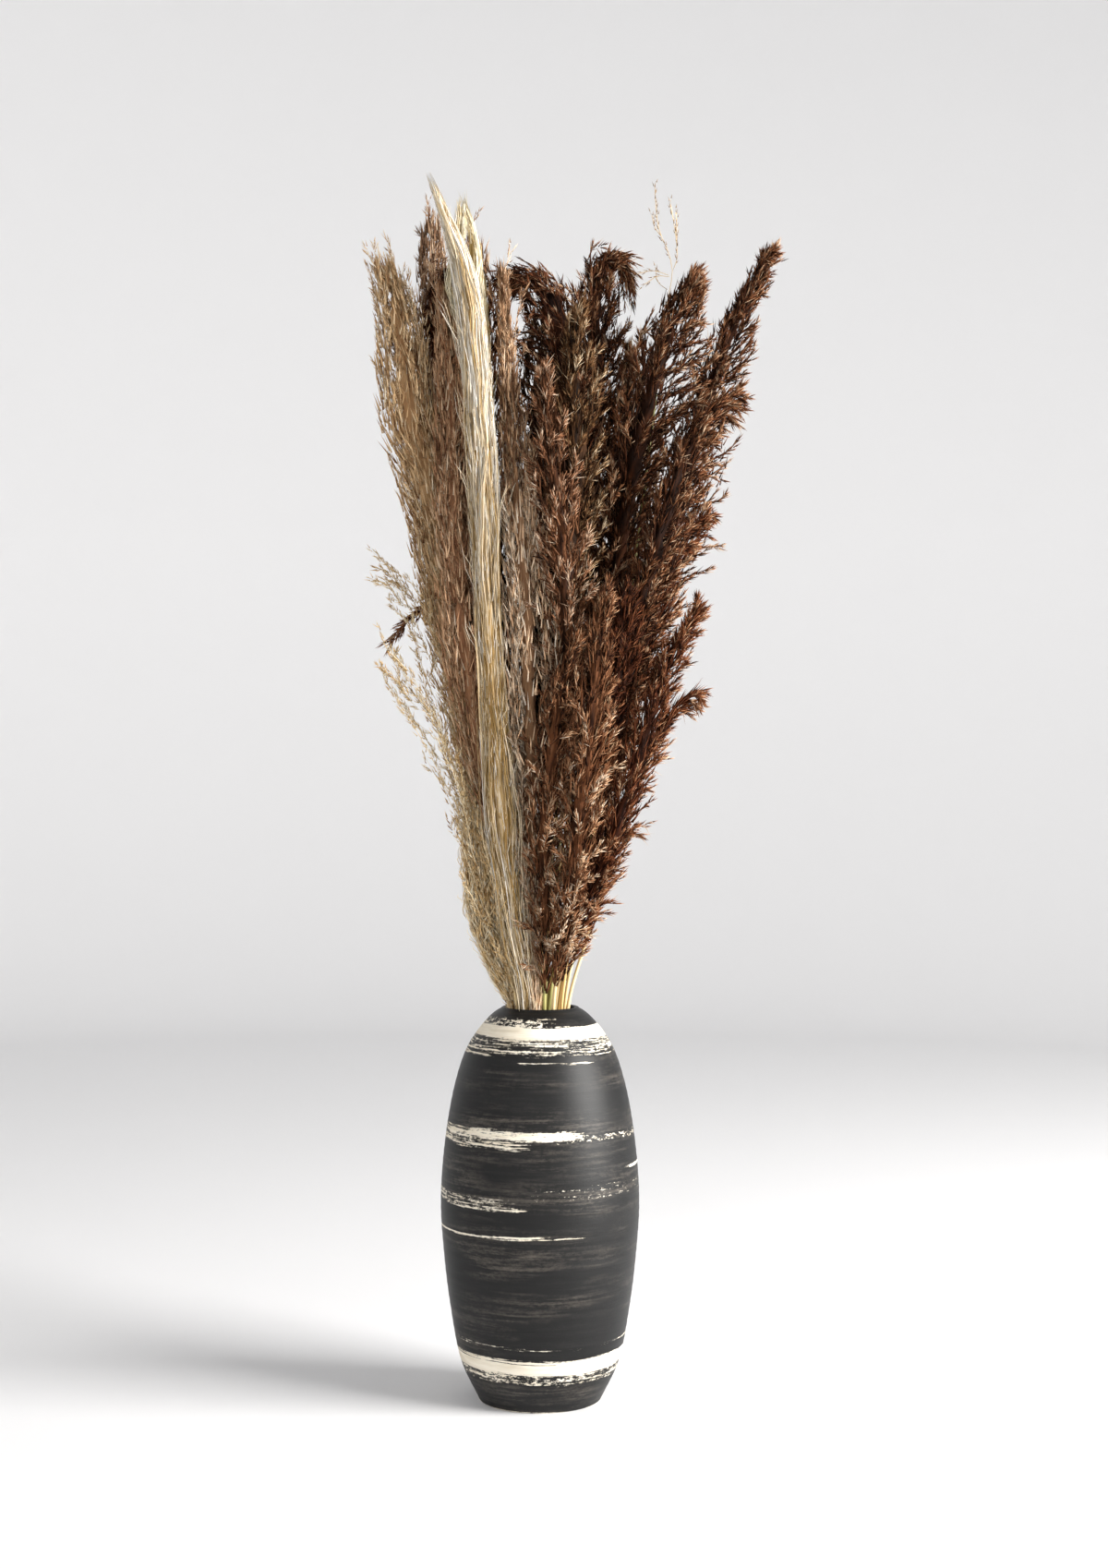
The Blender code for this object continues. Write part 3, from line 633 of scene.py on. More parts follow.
def reed_plume(stalk, draw, low=-0.06, heavy=EVEN, flow=EVEN, density=1.0, packed=0.21,
               matted=2100, shaded=0.0):
    """Branch i leaves the stalk at its share of the length, from low up, at the golden angle
    from the last, and runs ahead along it while it moves out by 1 - (1 - t)^1.7 of the bush's
    radius, drifting with the flow. Its outer part is packed with tufts of husks, turned by up
    to about 30 degrees, with paler silk. Under them lie matted hairs, so many for each metre,
    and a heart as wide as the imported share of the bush. A shaded head is darker towards its
    top."""
    middle = stalk.line[(stalk.share > 0) & (stalk.share < 1), 3].mean() / MM
    count = int(BRANCHES_PER_M * middle * stalk.length * (1 - low) * density)
    start = low + (np.arange(count) + draw.uniform(0, 1, count)) / count * (0.98 - low)
    angle = np.arange(count) * GOLDEN_ANGLE + draw.normal(0, 0.35, count)
    length = draw.uniform(*BRANCH_MM, count) * MM
    length = np.minimum(length, np.maximum(1.0 - start, 0.04) * stalk.length)
    t = np.linspace(0, 1, 8)
    share = start[:, None] + length[:, None] / stalk.length * t * 0.9
    depth = np.sqrt(draw.uniform(0.20, 1.0, count)) * draw.uniform(0.85, 1.1, count)
    reach = depth[:, None] * stalk.bush(np.minimum(share, 1.0)) * (1 - (1 - t) ** 1.7)
    turning = angle[:, None] + draw.normal(0, 0.4, (count, 1)) * t
    lines = stalk.beside(share, turning, reach, heavy)
    sag = t ** 2.2 * length[:, None]
    rising = unit(stalk.at(start + 0.02)[:, :3] - stalk.at(start - 0.02)[:, :3])[:, 2:]
    hang = DROOP + NOD * (1 - np.clip(rising, 0, 1))
    lines[..., 2] -= sag * hang * draw.uniform(0.0, 2.0, (count, 1))
    lines += (t ** 1.6 * length[:, None])[..., None] * np.array(flow) * draw.uniform(0.3, 1.5, (count, 1, 1))
    lines += draw.normal(0, 0.11, (count, 1, 3)) * sag[..., None]
    twigs = blades(lines[:, (1, 3, 5, 7)], np.array(BRANCH_WIDTHS_MM) * MM,
                   0.14 + 0.14 * draw.uniform(size=count), draw)

    spot = TUFTS_FROM + spaced(count, TUFTS_EACH, draw) * TUFTS_OVER
    spot[:, -1] = 0.95
    foot, ahead = along_lines(lines, spot)
    place = start[:, None] + length[:, None] / stalk.length * spot
    outer = (depth[:, None] * (1 - (1 - spot) ** 1.7)).ravel()
    outwards = unit(foot - stalk.at(np.clip(place, low, 1.0)).reshape(-1, 4)[:, :3])
    sideways = aside(ahead, draw) + 0.35 * outwards
    turn = np.where(np.arange(TUFTS_EACH) == TUFTS_EACH - 1, 0.1, 1.0)
    turn = (turn * draw.uniform(0.1, 0.55, (count, TUFTS_EACH))).reshape(-1, 1)
    aims = unit(ahead + sideways * turn)
    n = len(foot)
    sizes = draw.uniform(*TUFT_MM, n) * MM * (1.12 - 0.25 * spot.ravel())
    dim = shaded * np.clip((place.ravel() - 0.45) / 0.4, 0, 1)
    # a tuft further out is painted lighter, and one deeper in darker, as shade inside the plume
    tones = 0.17 + 0.42 * outer + draw.normal(0, 0.14, n) + np.repeat(draw.normal(0, 0.09, count), TUFTS_EACH)
    tones += 0.22 * np.clip(1 - 1.3 * place.ravel(), 0, 1) - dim
    husks = tufts(foot, aims, sizes, HUSKS_EACH, 0.42, HUSK_WIDTH_MM, tones, 0.16, draw)

    pick = draw.permutation(n)[: int(n * 0.5)]
    aim = unit(aims[pick] + draw.normal(0, 0.32, (len(pick), 3)))
    tip = foot[pick] + aim * draw.uniform(*SILK_MM, (len(pick), 1)) * MM
    # silk further out is painted lighter in the same way, as shade inside the plume
    bright = 0.52 + 0.5 * outer[pick] + 0.12 * draw.normal(size=len(pick)) - dim[pick]
    silk = hairs(foot[pick], tip, SILK_WIDTH_MM * MM, bright, draw)
    under = ruff(stalk, draw, int(matted * stalk.length * density), low, 0.96, (0.2, 0.85), MATTED_MM,
                 MATTED_WIDTH_MM, 0.5, 0.24, 0.13, heavy)
    # a dark heart: painted shade between the tufts
    core = heart(stalk, max(low, -0.03), 0.94, packed, 0.1, draw, sides=9, streak=0.12, lump=0.35)
    return joined([core, twigs, husks, silk, under])


# its lowest branch came through the pale plumes and hangs on their other side
SPRIG_TUFTS = 44
SPRIG_MM = ((-40, 4, 690), (-72, 0, 712), (-98, -6, 709), (-118, -9, 695), (-133, -12, 676))


def side_sprig(places, draw):
    """A thin branch through places in millimetres, husked along its outer two thirds."""
    line = smooth_line(np.array(places) * MM, 9)[None]
    twig = blades(line, 1.0 * MM, np.array([0.3]), draw, 1.0)
    foot, ahead = along_lines(line, np.linspace(0.34, 0.98, SPRIG_TUFTS)[None])
    aims = unit(ahead + aside(ahead, draw) * draw.uniform(0.2, 0.6, (SPRIG_TUFTS, 1)))
    return joined([twig, tufts(foot, aims, draw.uniform(12, 20, SPRIG_TUFTS) * MM, 6, 0.5, 1.5,
                               draw.uniform(0.45, 0.75, SPRIG_TUFTS), 0.12, draw)])


# Common reed, dried in seed. It is matt, painted nearly black in its heart as shade and lighter in its husks,
# and its heads have dried to different browns. Hazel and mauve are the most faded.
umber = fibre_finish("dry_reed_umber", ("#150a04", "#3c240f", "#6b4a2d", "#987957", "#c9b598"), 1.45)
sepia = fibre_finish("dry_reed_sepia", ("#140702", "#3a1d0c", "#63391f", "#886042", "#b79c80"), 1.3)
chocolate = fibre_finish("dry_reed_chocolate", ("#160803", "#40200f", "#724228", "#a07656", "#d0b698"), 1.4)
russet = fibre_finish("dry_reed_russet", ("#1a0903", "#48220f", "#744226", "#986b4a", "#c4a485"), 1.25)
hazel = fibre_finish("dry_reed_hazel", ("#2a150a", "#70452a", "#a57654", "#c8a784", "#e8d6c0"), 1.3)
mauve = fibre_finish("dry_reed_mauve", ("#200e06", "#5c3821", "#916345", "#b49378", "#d6c0a8"), 1.3)
# each head's finish, its growth from foot to tip, its fluff in millimetres, and its own ways:
# one that hangs to one side is heavy there, the first and the two at the back start lower and
# are thinner, and three have tops that their neighbours shade
REEDS = {
    1: (chocolate, (2.4, 2.0, 1.4, 1.1), 7.0, dict(low=-0.35, heavy=(0.4, 0, 0.1), density=0.78)),
    2: (chocolate, (1.1, 1.3, 1.7, 1.9), 7.0, dict(heavy=(-0.2, 0, 0.1), density=1.2, packed=0.38)),
    3: (sepia, (1.1, 1.15, 1.05), 6.0, dict(heavy=(0.1, 0, 0.1), density=1.3, packed=0.3)),
    4: (sepia, (1.05, 1.4), 7.0, dict(
        heavy=(0.08, 0, -0.1), flow=(0.15, 0, 0.02), density=1.12, packed=0.15)),
    5: (sepia, (1.1, 1.8, 0.7), 5.0, dict(heavy=(0.15, 0, 0), density=1.25)),
    6: (sepia, (1.0, 0.9), 7.0, dict(heavy=(0.1, 0, -0.2), flow=(0.05, 0, -0.1))),
    7: (russet, (0.85,), 4.5, dict(flow=(0.03, 0, 0.05))),
    8: (russet, (0.9,), 4.0, {}),
    9: (umber, (1.2,), 7.5, dict(packed=0.28)),
    10: (umber, (1.2, 1.4), 8.0, dict(packed=0.28)),
    11: (mauve, (1.05, 0.9), 6.0, {}),
    12: (hazel, (1.0,), 6.0, dict(shaded=0.22)),
    13: (russet, (1.05,), 7.0, dict(shaded=0.3)),
    14: (hazel, (1.05,), 7.0, dict(shaded=0.28)),
    15: (russet, (0.9, 0.1), 1.0, {}),
    16: (umber, (1.5, 2.2), 8.0, dict(low=-0.15, density=0.62, packed=0.24, matted=4600)),
    17: (chocolate, (1.0,), 6.0, dict(low=-0.1, density=0.6, packed=0.2, matted=4600)),
}
for number, (finish, growth, fluff_mm, ways) in REEDS.items():
    node = f"brown_plume_{number:02d}"
    grown = reed_plume(Stalk(node, growth, fluff_mm), np.random.default_rng(100 + number), **ways)
    if number == 1:
        grown = joined([grown, side_sprig(SPRIG_MM, np.random.default_rng(150))])
    plume = mesh_piece(f"reed_plume_{number:02d}", grown[0], grown[1], finish, grown[2])
    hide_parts(node)


# ---------------------------------------------------------------------------------------
# Silver grass plumes. Many long, slim fingers rise close together from low on the stalk,
# each beaded with tiny husks in a ruff of fine straw-coloured silk.
# ---------------------------------------------------------------------------------------
FINGERS_FROM = -0.2          # the lowest one's foot, as a share of the plume's length
FINGERS_TO = 0.86            # and the highest one's
FINGER_WIDTH_MM = 0.6
FINGER_CURL_MM = 6.0
BEAD_MM, BEAD_WIDTH_MM = (4.0, 7.0), 1.1
TUFT_HAIRS, TUFT_WIDTH_MM = 4, 1.0
RUFF_MM, RUFF_WIDTH_MM = (11.0, 20.0), 1.75  # real silk is far finer, and wouldn't show
CURL_WIDTH_MM = 0.7


def curls(stalk, draw, count, low, high, size_mm, tone, spread):
    """Loose curly hairs: each rises along the plume's surface, a little outwards, while it
    turns one to two times round that path in a helix that widens to its tip."""
    t = np.linspace(0, 1, 6)
    start = draw.uniform(low, high, (count, 1))
    size = draw.uniform(*size_mm, (count, 1)) * MM
    angle = draw.uniform(0, 2 * np.pi, (count, 1)) + draw.normal(0, 0.5, (count, 1)) * t
    share = start + size / stalk.length * t
    reach = stalk.bush(share) * draw.uniform(0.65, 0.95, (count, 1)) * (1 + 0.1 * t)
    lines = stalk.beside(share, angle, reach)
    turn = draw.uniform(0, 2 * np.pi, (count, 1)) + draw.uniform(5, 11, (count, 1)) * t
    reach = draw.uniform(1.0, 3.5, (count, 1)) * MM * np.sqrt(t)
    lines += np.stack([reach * np.cos(turn), reach * np.sin(turn), 0.4 * reach * np.sin(turn + 1)], axis=2)
    return blades(lines, CURL_WIDTH_MM * MM, draw.normal(tone, spread, count), draw)


def silver_plume(stalk, draw, fingers=58, finger_mm=(80.0, 180.0), beads_each=16, tufts_each=27,
                 tuft_mm=(9.0, 16.0), tone=0.53, bead_tone=0.24, open_top=0.4, heavy=EVEN, dusk=0.0,
                 curly=0, ruff_each=800, packed=0.32):
    """Finger i leaves the stalk low down and follows it upwards, moving out by a root of its
    share, with a slow wave, and past the plume's shoulder it opens away from it. Silk stands
    along it in soft tufts, with small husks between them like beads. Over the fingers lie
    curly hairs and, on a full plume, a ruff in three zones, and in it a heart as wide as the
    packed share of the bush. Its tones fall by the dusk past the middle of its length."""
    start = (np.arange(fingers) + draw.uniform(0, 1, fingers)) / fingers
    start = FINGERS_FROM + start * (FINGERS_TO - FINGERS_FROM)
    angle = np.arange(fingers) * GOLDEN_ANGLE + draw.normal(0, 0.4, fingers)
    length = np.minimum(draw.uniform(*finger_mm, fingers) * MM,
                        (draw.uniform(0.93, 1.01, fingers) - start) * stalk.length)
    t = np.linspace(0, 1, 9)
    share = start[:, None] + length[:, None] / stalk.length * t
    depth = draw.uniform(0.62, 1.02, fingers)
    opened = 1 + open_top * np.clip((share - 0.7) / 0.3, 0, 1) * draw.uniform(0.2, 1.6, (fingers, 1))
    reach = depth[:, None] * stalk.bush(np.clip(share, FINGERS_FROM, 0.92)) * t ** 0.35 * opened
    wave = draw.normal(0, 0.3, (fingers, 1)) * t + 0.12 * np.sin(7 * t + draw.uniform(0, 6, (fingers, 1)))
    lines = stalk.beside(share, angle[:, None] + wave, reach, heavy)
    lines += draw.normal(0, FINGER_CURL_MM * MM, (fingers, 1, 3)) * (t ** 3)[None, :, None]
    lines += (draw.normal(0, FINGER_CURL_MM * 0.35 * MM, (fingers, 1, 3))
              * np.sin(9 * t + draw.uniform(0, 6, (fingers, 1)))[..., None] * t[None, :, None])
    parts = [blades(lines[:, ::2], FINGER_WIDTH_MM * MM, tone + 0.2 * draw.uniform(size=fingers), draw, 1.0)]
    # each finger's own tone, painted darker the deeper it lies, as shade inside the plume
    own_and_depth_shade_tone = draw.normal(0, 0.10, (fingers, 1)) + 0.5 * (depth[:, None] - 0.85)

    foot, ahead = along_lines(lines, spaced(fingers, beads_each, draw) * 0.80 + 0.20)
    n = len(foot)
    sideways = aside(ahead, draw)
    size = draw.uniform(*BEAD_MM, (n, 1)) * MM
    aim = unit(ahead + sideways * draw.uniform(0.2, 0.8, (n, 1)))
    foot = foot + sideways * draw.uniform(0, 3.0, (n, 1)) * MM
    tones = np.clip(bead_tone + draw.normal(0, 0.13, n), 0.01, 0.8)
    parts.append(hairs(foot, foot + aim * size, BEAD_WIDTH_MM * MM, tones, draw))

    spot = spaced(fingers, tufts_each, draw) * 0.97
    foot, ahead = along_lines(lines, spot)
    n = len(foot)
    dimmed = dusk * np.clip((start[:, None] + length[:, None] / stalk.length * spot - 0.55) / 0.2, 0, 1)
    tones = (tone + own_and_depth_shade_tone + draw.normal(0, 0.08, (fingers, tufts_each)) - dimmed).ravel()
    sideways = aside(ahead, draw)
    aims = unit(ahead + sideways * draw.uniform(0.05, 0.5, (n, 1)))
    foot = foot + sideways * draw.uniform(0, 1.6, (n, 1)) * MM
    sizes = draw.uniform(*tuft_mm, n) * MM
    parts.append(tufts(foot, aims, sizes, TUFT_HAIRS, 0.4, TUFT_WIDTH_MM, tones, 0.2, draw))
    if curly:
        parts.append(curls(stalk, draw, curly, FINGERS_FROM, 0.7, (22, 42), tone + 0.12, 0.15))
    if ruff_each:
        for begin, end, shade in ((FINGERS_FROM, 0.3, 0.1), (0.3, 0.6, 0.1), (0.6, 0.95, 0.1 + dusk)):
            parts.append(ruff(stalk, draw, ruff_each, begin, end, (0.5, 1.02), RUFF_MM, RUFF_WIDTH_MM, 0.3,
                              tone - shade, 0.22, heavy))
        # a heart in a darker tone: painted shade inside the plume
        parts.append(heart(stalk, -0.1, 0.9, packed, max(0.2, tone - 0.28 - dusk), draw,
                           sides=9, lump=0.3))
    return joined(parts)


# Silver grass, dried in flower: matt straw-coloured silk, brownest at its husks. Tan is its
# middling tone, dusky is browner, and pale is the most bleached.
tan = fibre_finish("dry_silver_grass_tan", ("#785538", "#b88f65", "#e4be8e", "#f3d5aa", "#faeacc"), 1.3)
dusky = fibre_finish("dry_silver_grass_dusky", ("#6e4730", "#ac7d5b", "#dcae86", "#eccaa4", "#f5e1c6"), 1.25)
pale_tan = fibre_finish("dry_silver_grass_pale", ("#845f39", "#c39861", "#e9c68f", "#f5ddb2", "#fbf0d6"), 1.3)
# more closed heads, whose silk stays together: dove is a little greyer than tan, and taupe is
# the darkest
dove = fibre_finish("dry_silver_grass_dove", ("#6b4a34", "#aa8260", "#d8b18c", "#ecd0b0", "#f8e8d2"), 1.3)
taupe = fibre_finish("dry_silver_grass_taupe", ("#4a3223", "#7d5b44", "#ac8768", "#c8a788", "#dfc7aa"), 1.25)
# two thin, open heads without a ruff
SPARSE = dict(fingers=26, finger_mm=(60.0, 140.0), beads_each=20, tufts_each=20, tuft_mm=(6.0, 11.0),
              tone=0.66, bead_tone=0.5, open_top=1.0, ruff_each=0)
# each head's finish, its growth from foot to tip, its fluff in millimetres, and its own ways
SILVER_GRASS = {
    1: (tan, (1.1, 1.15, 1.2, 1.7), 3.0, dict(
        fingers=70, tone=0.56, open_top=0.5, heavy=(-0.05, -0.2, 0), ruff_each=1300, packed=0.5)),
    2: (dusky, (1.1, 1.1, 0.8, 0.8), 3.0, dict(heavy=(0, -0.2, 0), dusk=0.06)),
    3: (pale_tan, (1.0,), 4.0, SPARSE),
    4: (pale_tan, (1.0,), 4.0, SPARSE),
    5: (pale_tan, (1.1, 1.45), 3.0, dict(tone=0.72, bead_tone=0.4, heavy=(0.35, -0.3, 0), curly=330)),
    6: (tan, (1.1, 1.3), 3.0, dict(fingers=46)),
}
CLOSED_SILVER_GRASS = {
    1: (taupe, (1.1, 1.4, 2.4), 4.0, dict(fingers=50, tone=0.58, heavy=(0.1, 0, 0))),
    2: (taupe, (1.0, 1.2, 3.0), 4.0, dict(fingers=40, tone=0.54, heavy=(0.1, -0.2, 0))),
    3: (dove, (2.0, 1.7, 1.6, 1.5, 0.6, 0.5), 2.5, dict(
        fingers=60, tone=0.7, heavy=(0.2, -0.4, 0), dusk=0.42, packed=0.22)),
}
for number, (finish, growth, fluff_mm, ways) in SILVER_GRASS.items():
    node = f"tan_plume_{number:02d}"
    grown = silver_plume(Stalk(node, growth, fluff_mm), np.random.default_rng(300 + number), **ways)
    plume = mesh_piece(f"silver_grass_plume_{number:02d}", grown[0], grown[1], finish, grown[2])
    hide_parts(node)
for number, (finish, growth, fluff_mm, ways) in CLOSED_SILVER_GRASS.items():
    node = f"taupe_plume_{number:02d}"
    grown = silver_plume(Stalk(node, growth, fluff_mm), np.random.default_rng(330 + number),
                         bead_tone=0.28, open_top=0.3, **ways)
    plume = mesh_piece(f"closed_silver_grass_plume_{number:02d}", grown[0], grown[1], finish, grown[2])
    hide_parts(node)


# ---------------------------------------------------------------------------------------
# Pampas plumes. Cream silk, combed together while damp: hundreds of long fibres lie side by
# side in a slightly wavy strand, and a few have come loose.
# ---------------------------------------------------------------------------------------
FIBRES_EACH = 42             # in a lock
FIBRES_FROM = -0.12          # the lowest one's foot, as a share of the plume's length
FIBRE_MM, FIBRE_WIDTH_MM = (90.0, 240.0), 0.8
CRIMP_MM, CRIMP_WIDTH_MM = (12.0, 24.0), 0.8
LOOSE_HAIRS, LOOSE_WIDTH_MM = 4, 0.5


def silk_plume(stalk, draw, locks, ragged, loose, heavy=EVEN):
    """Fibre i belongs to a lock, and each lock keeps its place across the strand with a slow
    wave of its own. The fibres lie close round their lock, locks overlap lengthwise, and the
    strand's tip is ragged. A loose lock leaves the strand at a share of its length, so many
    millimetres long, and parts from it in a direction by so many millimetres."""
    count = locks * FIBRES_EACH
    lock = np.arange(count) % locks
    start = draw.uniform(FIBRES_FROM, 0.84, count)
    ends = 1.01 - ragged * draw.uniform(0, 1, count) ** 2
    length = np.minimum(draw.uniform(*FIBRE_MM, count) * MM, np.maximum(ends - start, 0.03) * stalk.length)
    t = np.linspace(0, 1, 9)
    share = start[:, None] + length[:, None] / stalk.length * t
    lock_angle = (np.arange(locks) * GOLDEN_ANGLE)[lock][:, None]
    lock_depth = (0.35 + 0.6 * np.sqrt(draw.uniform(0, 1, locks)))[lock][:, None]
    sway = draw.uniform(0, 6.28, locks)[lock][:, None]
    crimp = 0.10 * np.sin(70 * share + draw.uniform(0, 1.5, (count, 1)))
    angle = lock_angle + 0.55 * np.sin(11 * share + sway) + crimp
    swelling = 1 + 0.12 * np.sin(17 * share + 2 * sway)
    reach = lock_depth * stalk.bush(np.clip(share, FIBRES_FROM, 1.0)) * swelling
    lines = stalk.beside(share, angle, reach, heavy)
    close = draw.normal(0, 1.5, (count, 1, 3)) * MM
    lines += close * np.interp(share, (FIBRES_FROM, 0.3, 0.5, 0.9, 1.0), (2.6, 1.4, 0.9, 0.9, 0.4))[..., None]
    # each fibre's tone follows the height of its middle along the strand, lowest a third of the way up and
    # highest at the top
    tone_up_the_strand = np.interp(start + 0.5 * length / stalk.length, (0.0, 0.35, 0.48, 0.62, 1.0),
                         (0.50, 0.40, 0.47, 0.80, 0.86))
    tones = tone_up_the_strand + draw.normal(0, 0.22, locks)[lock] + draw.normal(0, 0.26, count)
    parts = [blades(lines, FIBRE_WIDTH_MM * MM, np.clip(tones, 0.01, 0.99), draw)]
    # short crimped silk lies over the locks, and stands off them lower down
    for begin, end in ((FIBRES_FROM, 0.3), (0.3, 0.6), (0.6, 0.97)):
        parts.append(ruff(stalk, draw, 36 * locks, begin, end, (0.8, 1.04), CRIMP_MM, CRIMP_WIDTH_MM, 0.10,
                          0.42 + 0.36 * (begin + end) / 2, 0.26, heavy))
    parts.append(curls(stalk, draw, 14 * locks, FIBRES_FROM, 0.35, (24, 50), 0.55, 0.2))
    # locks that came loose peel away from the strand, tips upwards
    for begin, reach_mm, away, end_mm in loose:
        share = begin + reach_mm * MM / stalk.length * t
        line = stalk.at(share)[:, :3] + np.array(away) * (t ** 1.6)[:, None] * end_mm * MM
        line += np.array(away) * stalk.bush(share)[:, None] * 0.8
        fan = draw.normal(0, 3.2, (LOOSE_HAIRS, 1, 3)) * MM * (t ** 1.2)[None, :, None]
        ripple = draw.normal(0, 0.5, (LOOSE_HAIRS, 9, 3)) * MM
        turn = draw.uniform(0, 6.28, (LOOSE_HAIRS, 1)) + 8.0 * t
        curl = np.stack([np.sin(turn), np.cos(turn), 0.6 * np.sin(turn)], axis=2)
        curl *= 2.2 * MM * t[None, :, None]
        parts.append(blades(line[None] + fan + ripple + curl, LOOSE_WIDTH_MM * MM,
                            draw.uniform(0.5, 0.9, LOOSE_HAIRS), draw))
    # a dark heart: painted shade inside the strand
    parts.append(heart(stalk, -0.1, 0.90, 0.55, 0.30, draw, sides=14, streak=0.08))
    return joined(parts)


# Pampas silk, sun-bleached: smoother than the other grasses, so that its strands gleam a
# little, gold where they are shaded and nearly white at the top. The second is yellower.
cream = fibre_finish(
    "dry_pampas_cream", ("#94733f", "#caa76c", "#eed5aa", "#fbecd0", "#fffaf0"), 1.1, 0.5)
yellowed = fibre_finish(
    "dry_pampas_yellowed", ("#7a6137", "#b0955f", "#dac28e", "#eeddb2", "#f9f0d8"), 1.1, 0.5)
PAMPAS = {
    1: (cream, (1.8, 1.2, 0.9, 0.95, 1.0), 1.5, dict(locks=18, ragged=0.13, loose=(
        (0.70, 92, (-0.95, -0.2, 0), 20), (0.73, 60, (-0.9, -0.3, 0), 11), (0.55, 60, (-0.9, -0.3, 0), 7),
        (0.62, 70, (-0.9, -0.3, 0), 12), (0.45, 55, (-0.9, -0.3, 0), 9), (0.88, 60, (0.8, -0.5, 0), 12),
        (0.53, 52, (0.95, -0.3, 0), 15), (0.35, 60, (-0.9, -0.4, 0), 9), (0.2, 50, (0.9, -0.4, 0), 8)))),
    2: (yellowed, (0.8, 1.2, 1.5, 2.1), 3.0, dict(
        locks=9, ragged=0.25, loose=((0.3, 60, (0.7, -0.6, 0), 8),), heavy=(-0.7, 0, 0))),
}
for number, (finish, growth, fluff_mm, ways) in PAMPAS.items():
    node = f"cream_plume_{number:02d}"
    grown = silk_plume(Stalk(node, growth, fluff_mm), np.random.default_rng(400 + number), **ways)
    plume = mesh_piece(f"pampas_plume_{number:02d}", grown[0], grown[1], finish, grown[2])
    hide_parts(node)


# ---------------------------------------------------------------------------------------
# Seed spray. The thin open top of a meadow grass, its few wiry branches hung with seeds.
# ---------------------------------------------------------------------------------------
SEED_EVERY_MM = 2.6
WIRE_WIDTH_MM, SEED_STALK_WIDTH_MM, SEED_WIDTH_MM = 0.75, 0.45, 1.15
# the share of each branch that is bare, and its places in millimetres from the plume's foot
SPRAY_BRANCHES = (
    (0.50, ((0, 0, 0), (5, 0, 30), (10, 0, 59), (7, -1, 74), (-2, -1, 96), (-5, 0, 119), (-6, 0, 138))),
    (0.10, ((10, 0, 59), (14, 1, 70), (13, 1, 92), (8, 0, 122))),
    (0.15, ((13, 1, 86), (14, 2, 100), (13, 2, 114))),
    (0.15, ((-1, -1, 91), (-6, -2, 99), (-9, -2, 110))),
    (0.20, ((8, 0, 55), (-8, -2, 59), (-25, -3, 55))),
    (0.25, ((8, 0, 54), (-4, -2, 54), (-16, -2, 46))),
    (0.30, ((6, 0, 42), (-3, 1, 50), (-5, 2, 62))),
)


def open_spray(foot, branches, draw):
    """Wiry branches, each a curve through its places. From where it is bare no more, a seed
    on a short stalk leaves it every few millimetres, pointing ahead."""
    parts = []
    for bare, places in branches:
        line = smooth_line(foot + np.array(places) * MM, 15)[None]
        parts.append(blades(line, WIRE_WIDTH_MM * MM, np.array([0.8]), draw, 1.0))
        reach_mm = np.linalg.norm(np.diff(line[0], axis=0), axis=1).sum() / MM
        count = int(reach_mm * (1 - bare) / SEED_EVERY_MM)
        start, ahead = along_lines(line, np.linspace(bare, 0.99, count)[None])
        aim = unit(ahead + aside(ahead, draw) * draw.uniform(0.2, 0.6, (count, 1)))
        seed = start + aim * draw.uniform(1.5, 4.5, (count, 1)) * MM
        parts.append(hairs(start, seed + aim * MM, SEED_STALK_WIDTH_MM * MM, np.full(count, 0.7), draw))
        tip = seed + aim * draw.uniform(3.5, 5.0, (count, 1)) * MM
        parts.append(hairs(seed, tip, SEED_WIDTH_MM * MM, draw.uniform(0.0, 0.45, count), draw))
    return joined(parts)


# meadow grass gone to seed: dull pale wire, with browner seeds
pale = fibre_finish("dry_grass_pale", ("#7d5f43", "#b39673", "#dcc8a4"), 1.45)
foot = Stalk("wisp_plume_01", (1.0,), 3.0).at(0.0)[:3]
grown = open_spray(foot, SPRAY_BRANCHES, np.random.default_rng(500))
plume = mesh_piece("seed_spray_01", grown[0], grown[1], pale, grown[2])
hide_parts("wisp_plume_01")


# ---------------------------------------------------------------------------------------
# Studio. A pale floor that curves up into a wall all round, soft light from the right.
# ---------------------------------------------------------------------------------------
FLOOR_RADIUS = 3.0
COVE_RADIUS = 1.2
WALL_HEIGHT = 5.0
STUDIO_SIDES = 96

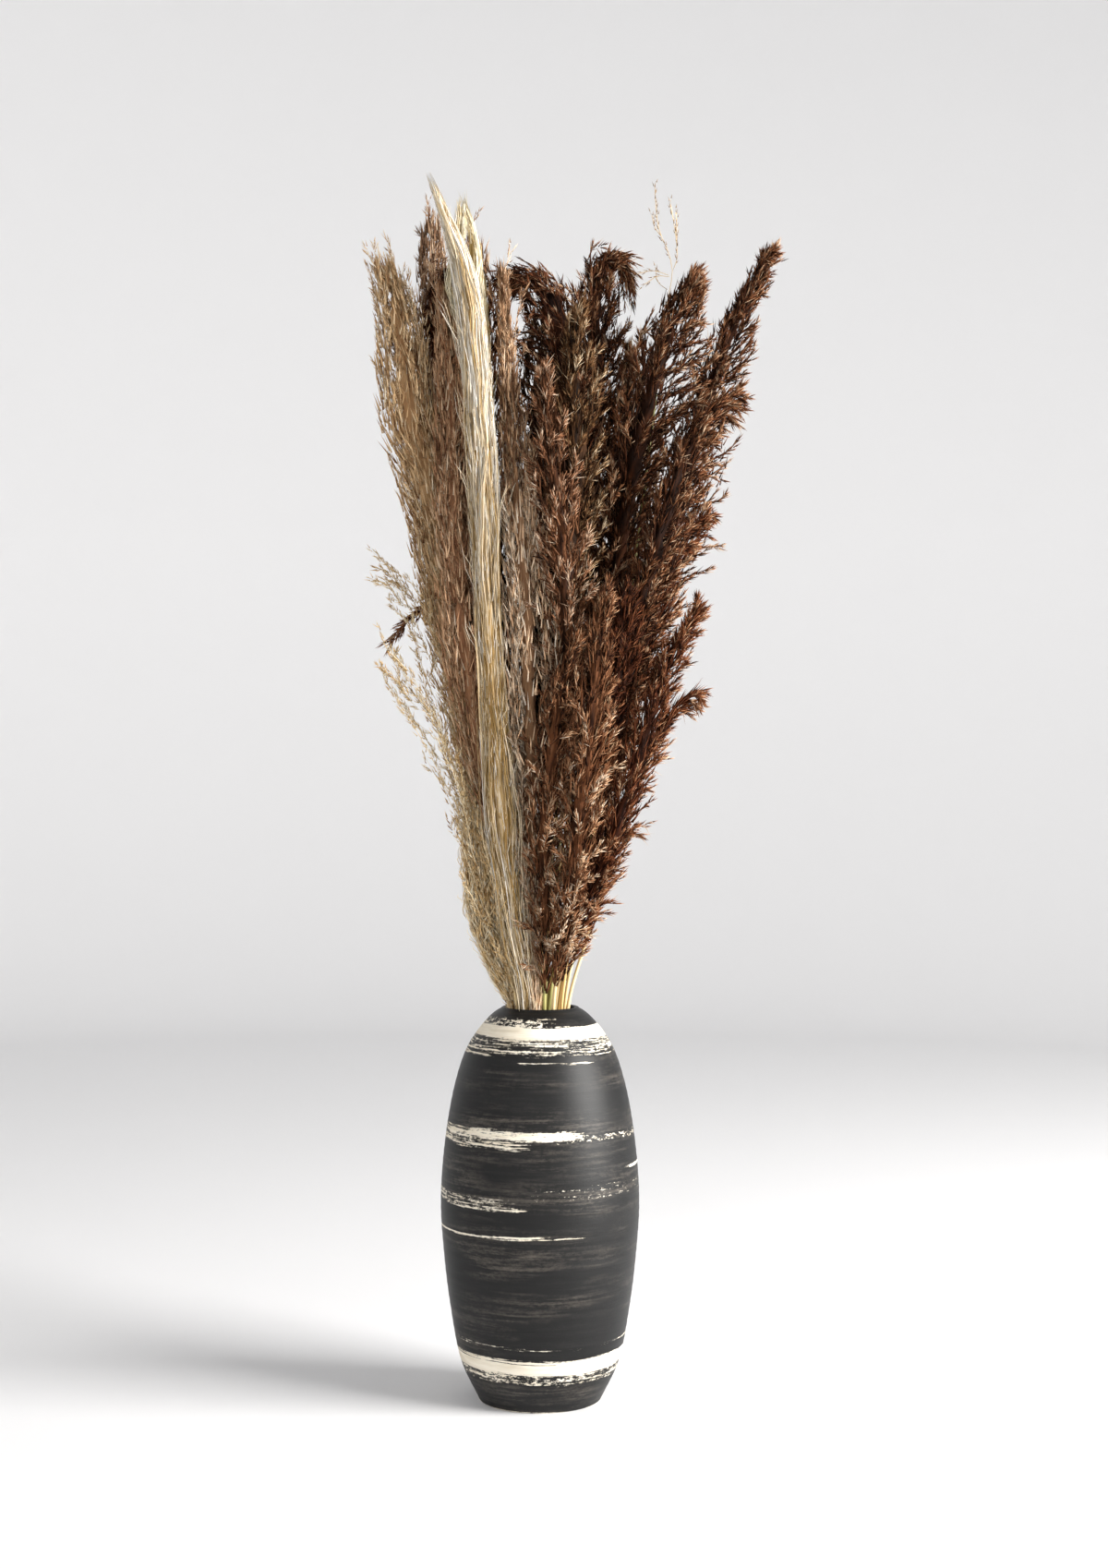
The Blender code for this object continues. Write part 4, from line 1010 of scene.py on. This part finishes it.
cove = np.linspace(0, np.pi / 2, 14)
curve = np.stack([FLOOR_RADIUS + COVE_RADIUS * np.sin(cove), COVE_RADIUS * (1 - np.cos(cove))], 1)
bowl = np.vstack([[[0.01, 0]], curve, [[FLOOR_RADIUS + COVE_RADIUS, WALL_HEIGHT]]])
corners = turned(bowl, STUDIO_SIDES)
studio = bpy.data.meshes.new("studio")
studio.from_pydata(corners.tolist(), [], ring_quads(len(bowl), STUDIO_SIDES).tolist())
studio.shade_smooth()
# matt emulsion, rolled on: even and without a gleam
white_paint, _ = new_material(
    "white_paint", Base_Color=linear("#e9e9ea"), Roughness=0.9, Specular_IOR_Level=0.1)
studio.materials.append(white_paint)
floor = bpy.data.objects.new("studio", studio)
bpy.context.scene.collection.objects.link(floor)


def look(thing, place, aim):
    """Puts a light or the camera into the scene, at a place and turned towards another."""
    thing = bpy.data.objects.new(thing.name, thing)
    thing.location = place
    thing.rotation_euler = (Vector(aim) - Vector(place)).to_track_quat("-Z", "Y").to_euler()
    bpy.context.scene.collection.objects.link(thing)
    return thing


def area_light(name, place, aim, size, power, colour):
    """A soft rectangular light: its size is in metres and its power in watts."""
    data = bpy.data.lights.new(name, "AREA")
    data.shape = "RECTANGLE"
    data.size, data.size_y = size
    data.energy = power
    data.color = colour
    look(data, place, aim)


area_light("window_right", (2.3, -0.95, 1.25), (0, 0, 0.55), (1.6, 1.8), 180, (1.0, 0.985, 0.96))
area_light("fill_front", (-0.8, -2.6, 1.6), (0, 0, 0.6), (2.0, 2.0), 8, (1.0, 0.99, 0.97))

world = bpy.data.worlds.new("studio_air")
world.use_nodes = True
world.node_tree.nodes["Background"].inputs["Color"].default_value = (1, 1, 1, 1)
world.node_tree.nodes["Background"].inputs["Strength"].default_value = 0.42
bpy.context.scene.world = world
bpy.context.scene.view_settings.view_transform = "Standard"

view = bpy.data.cameras.new("camera")
view.lens = 50.9
view.sensor_width = 36.0
bpy.context.scene.camera = look(view, (0.0125, -1.99, 0.540), (0.0125, 0.0, 0.5495))
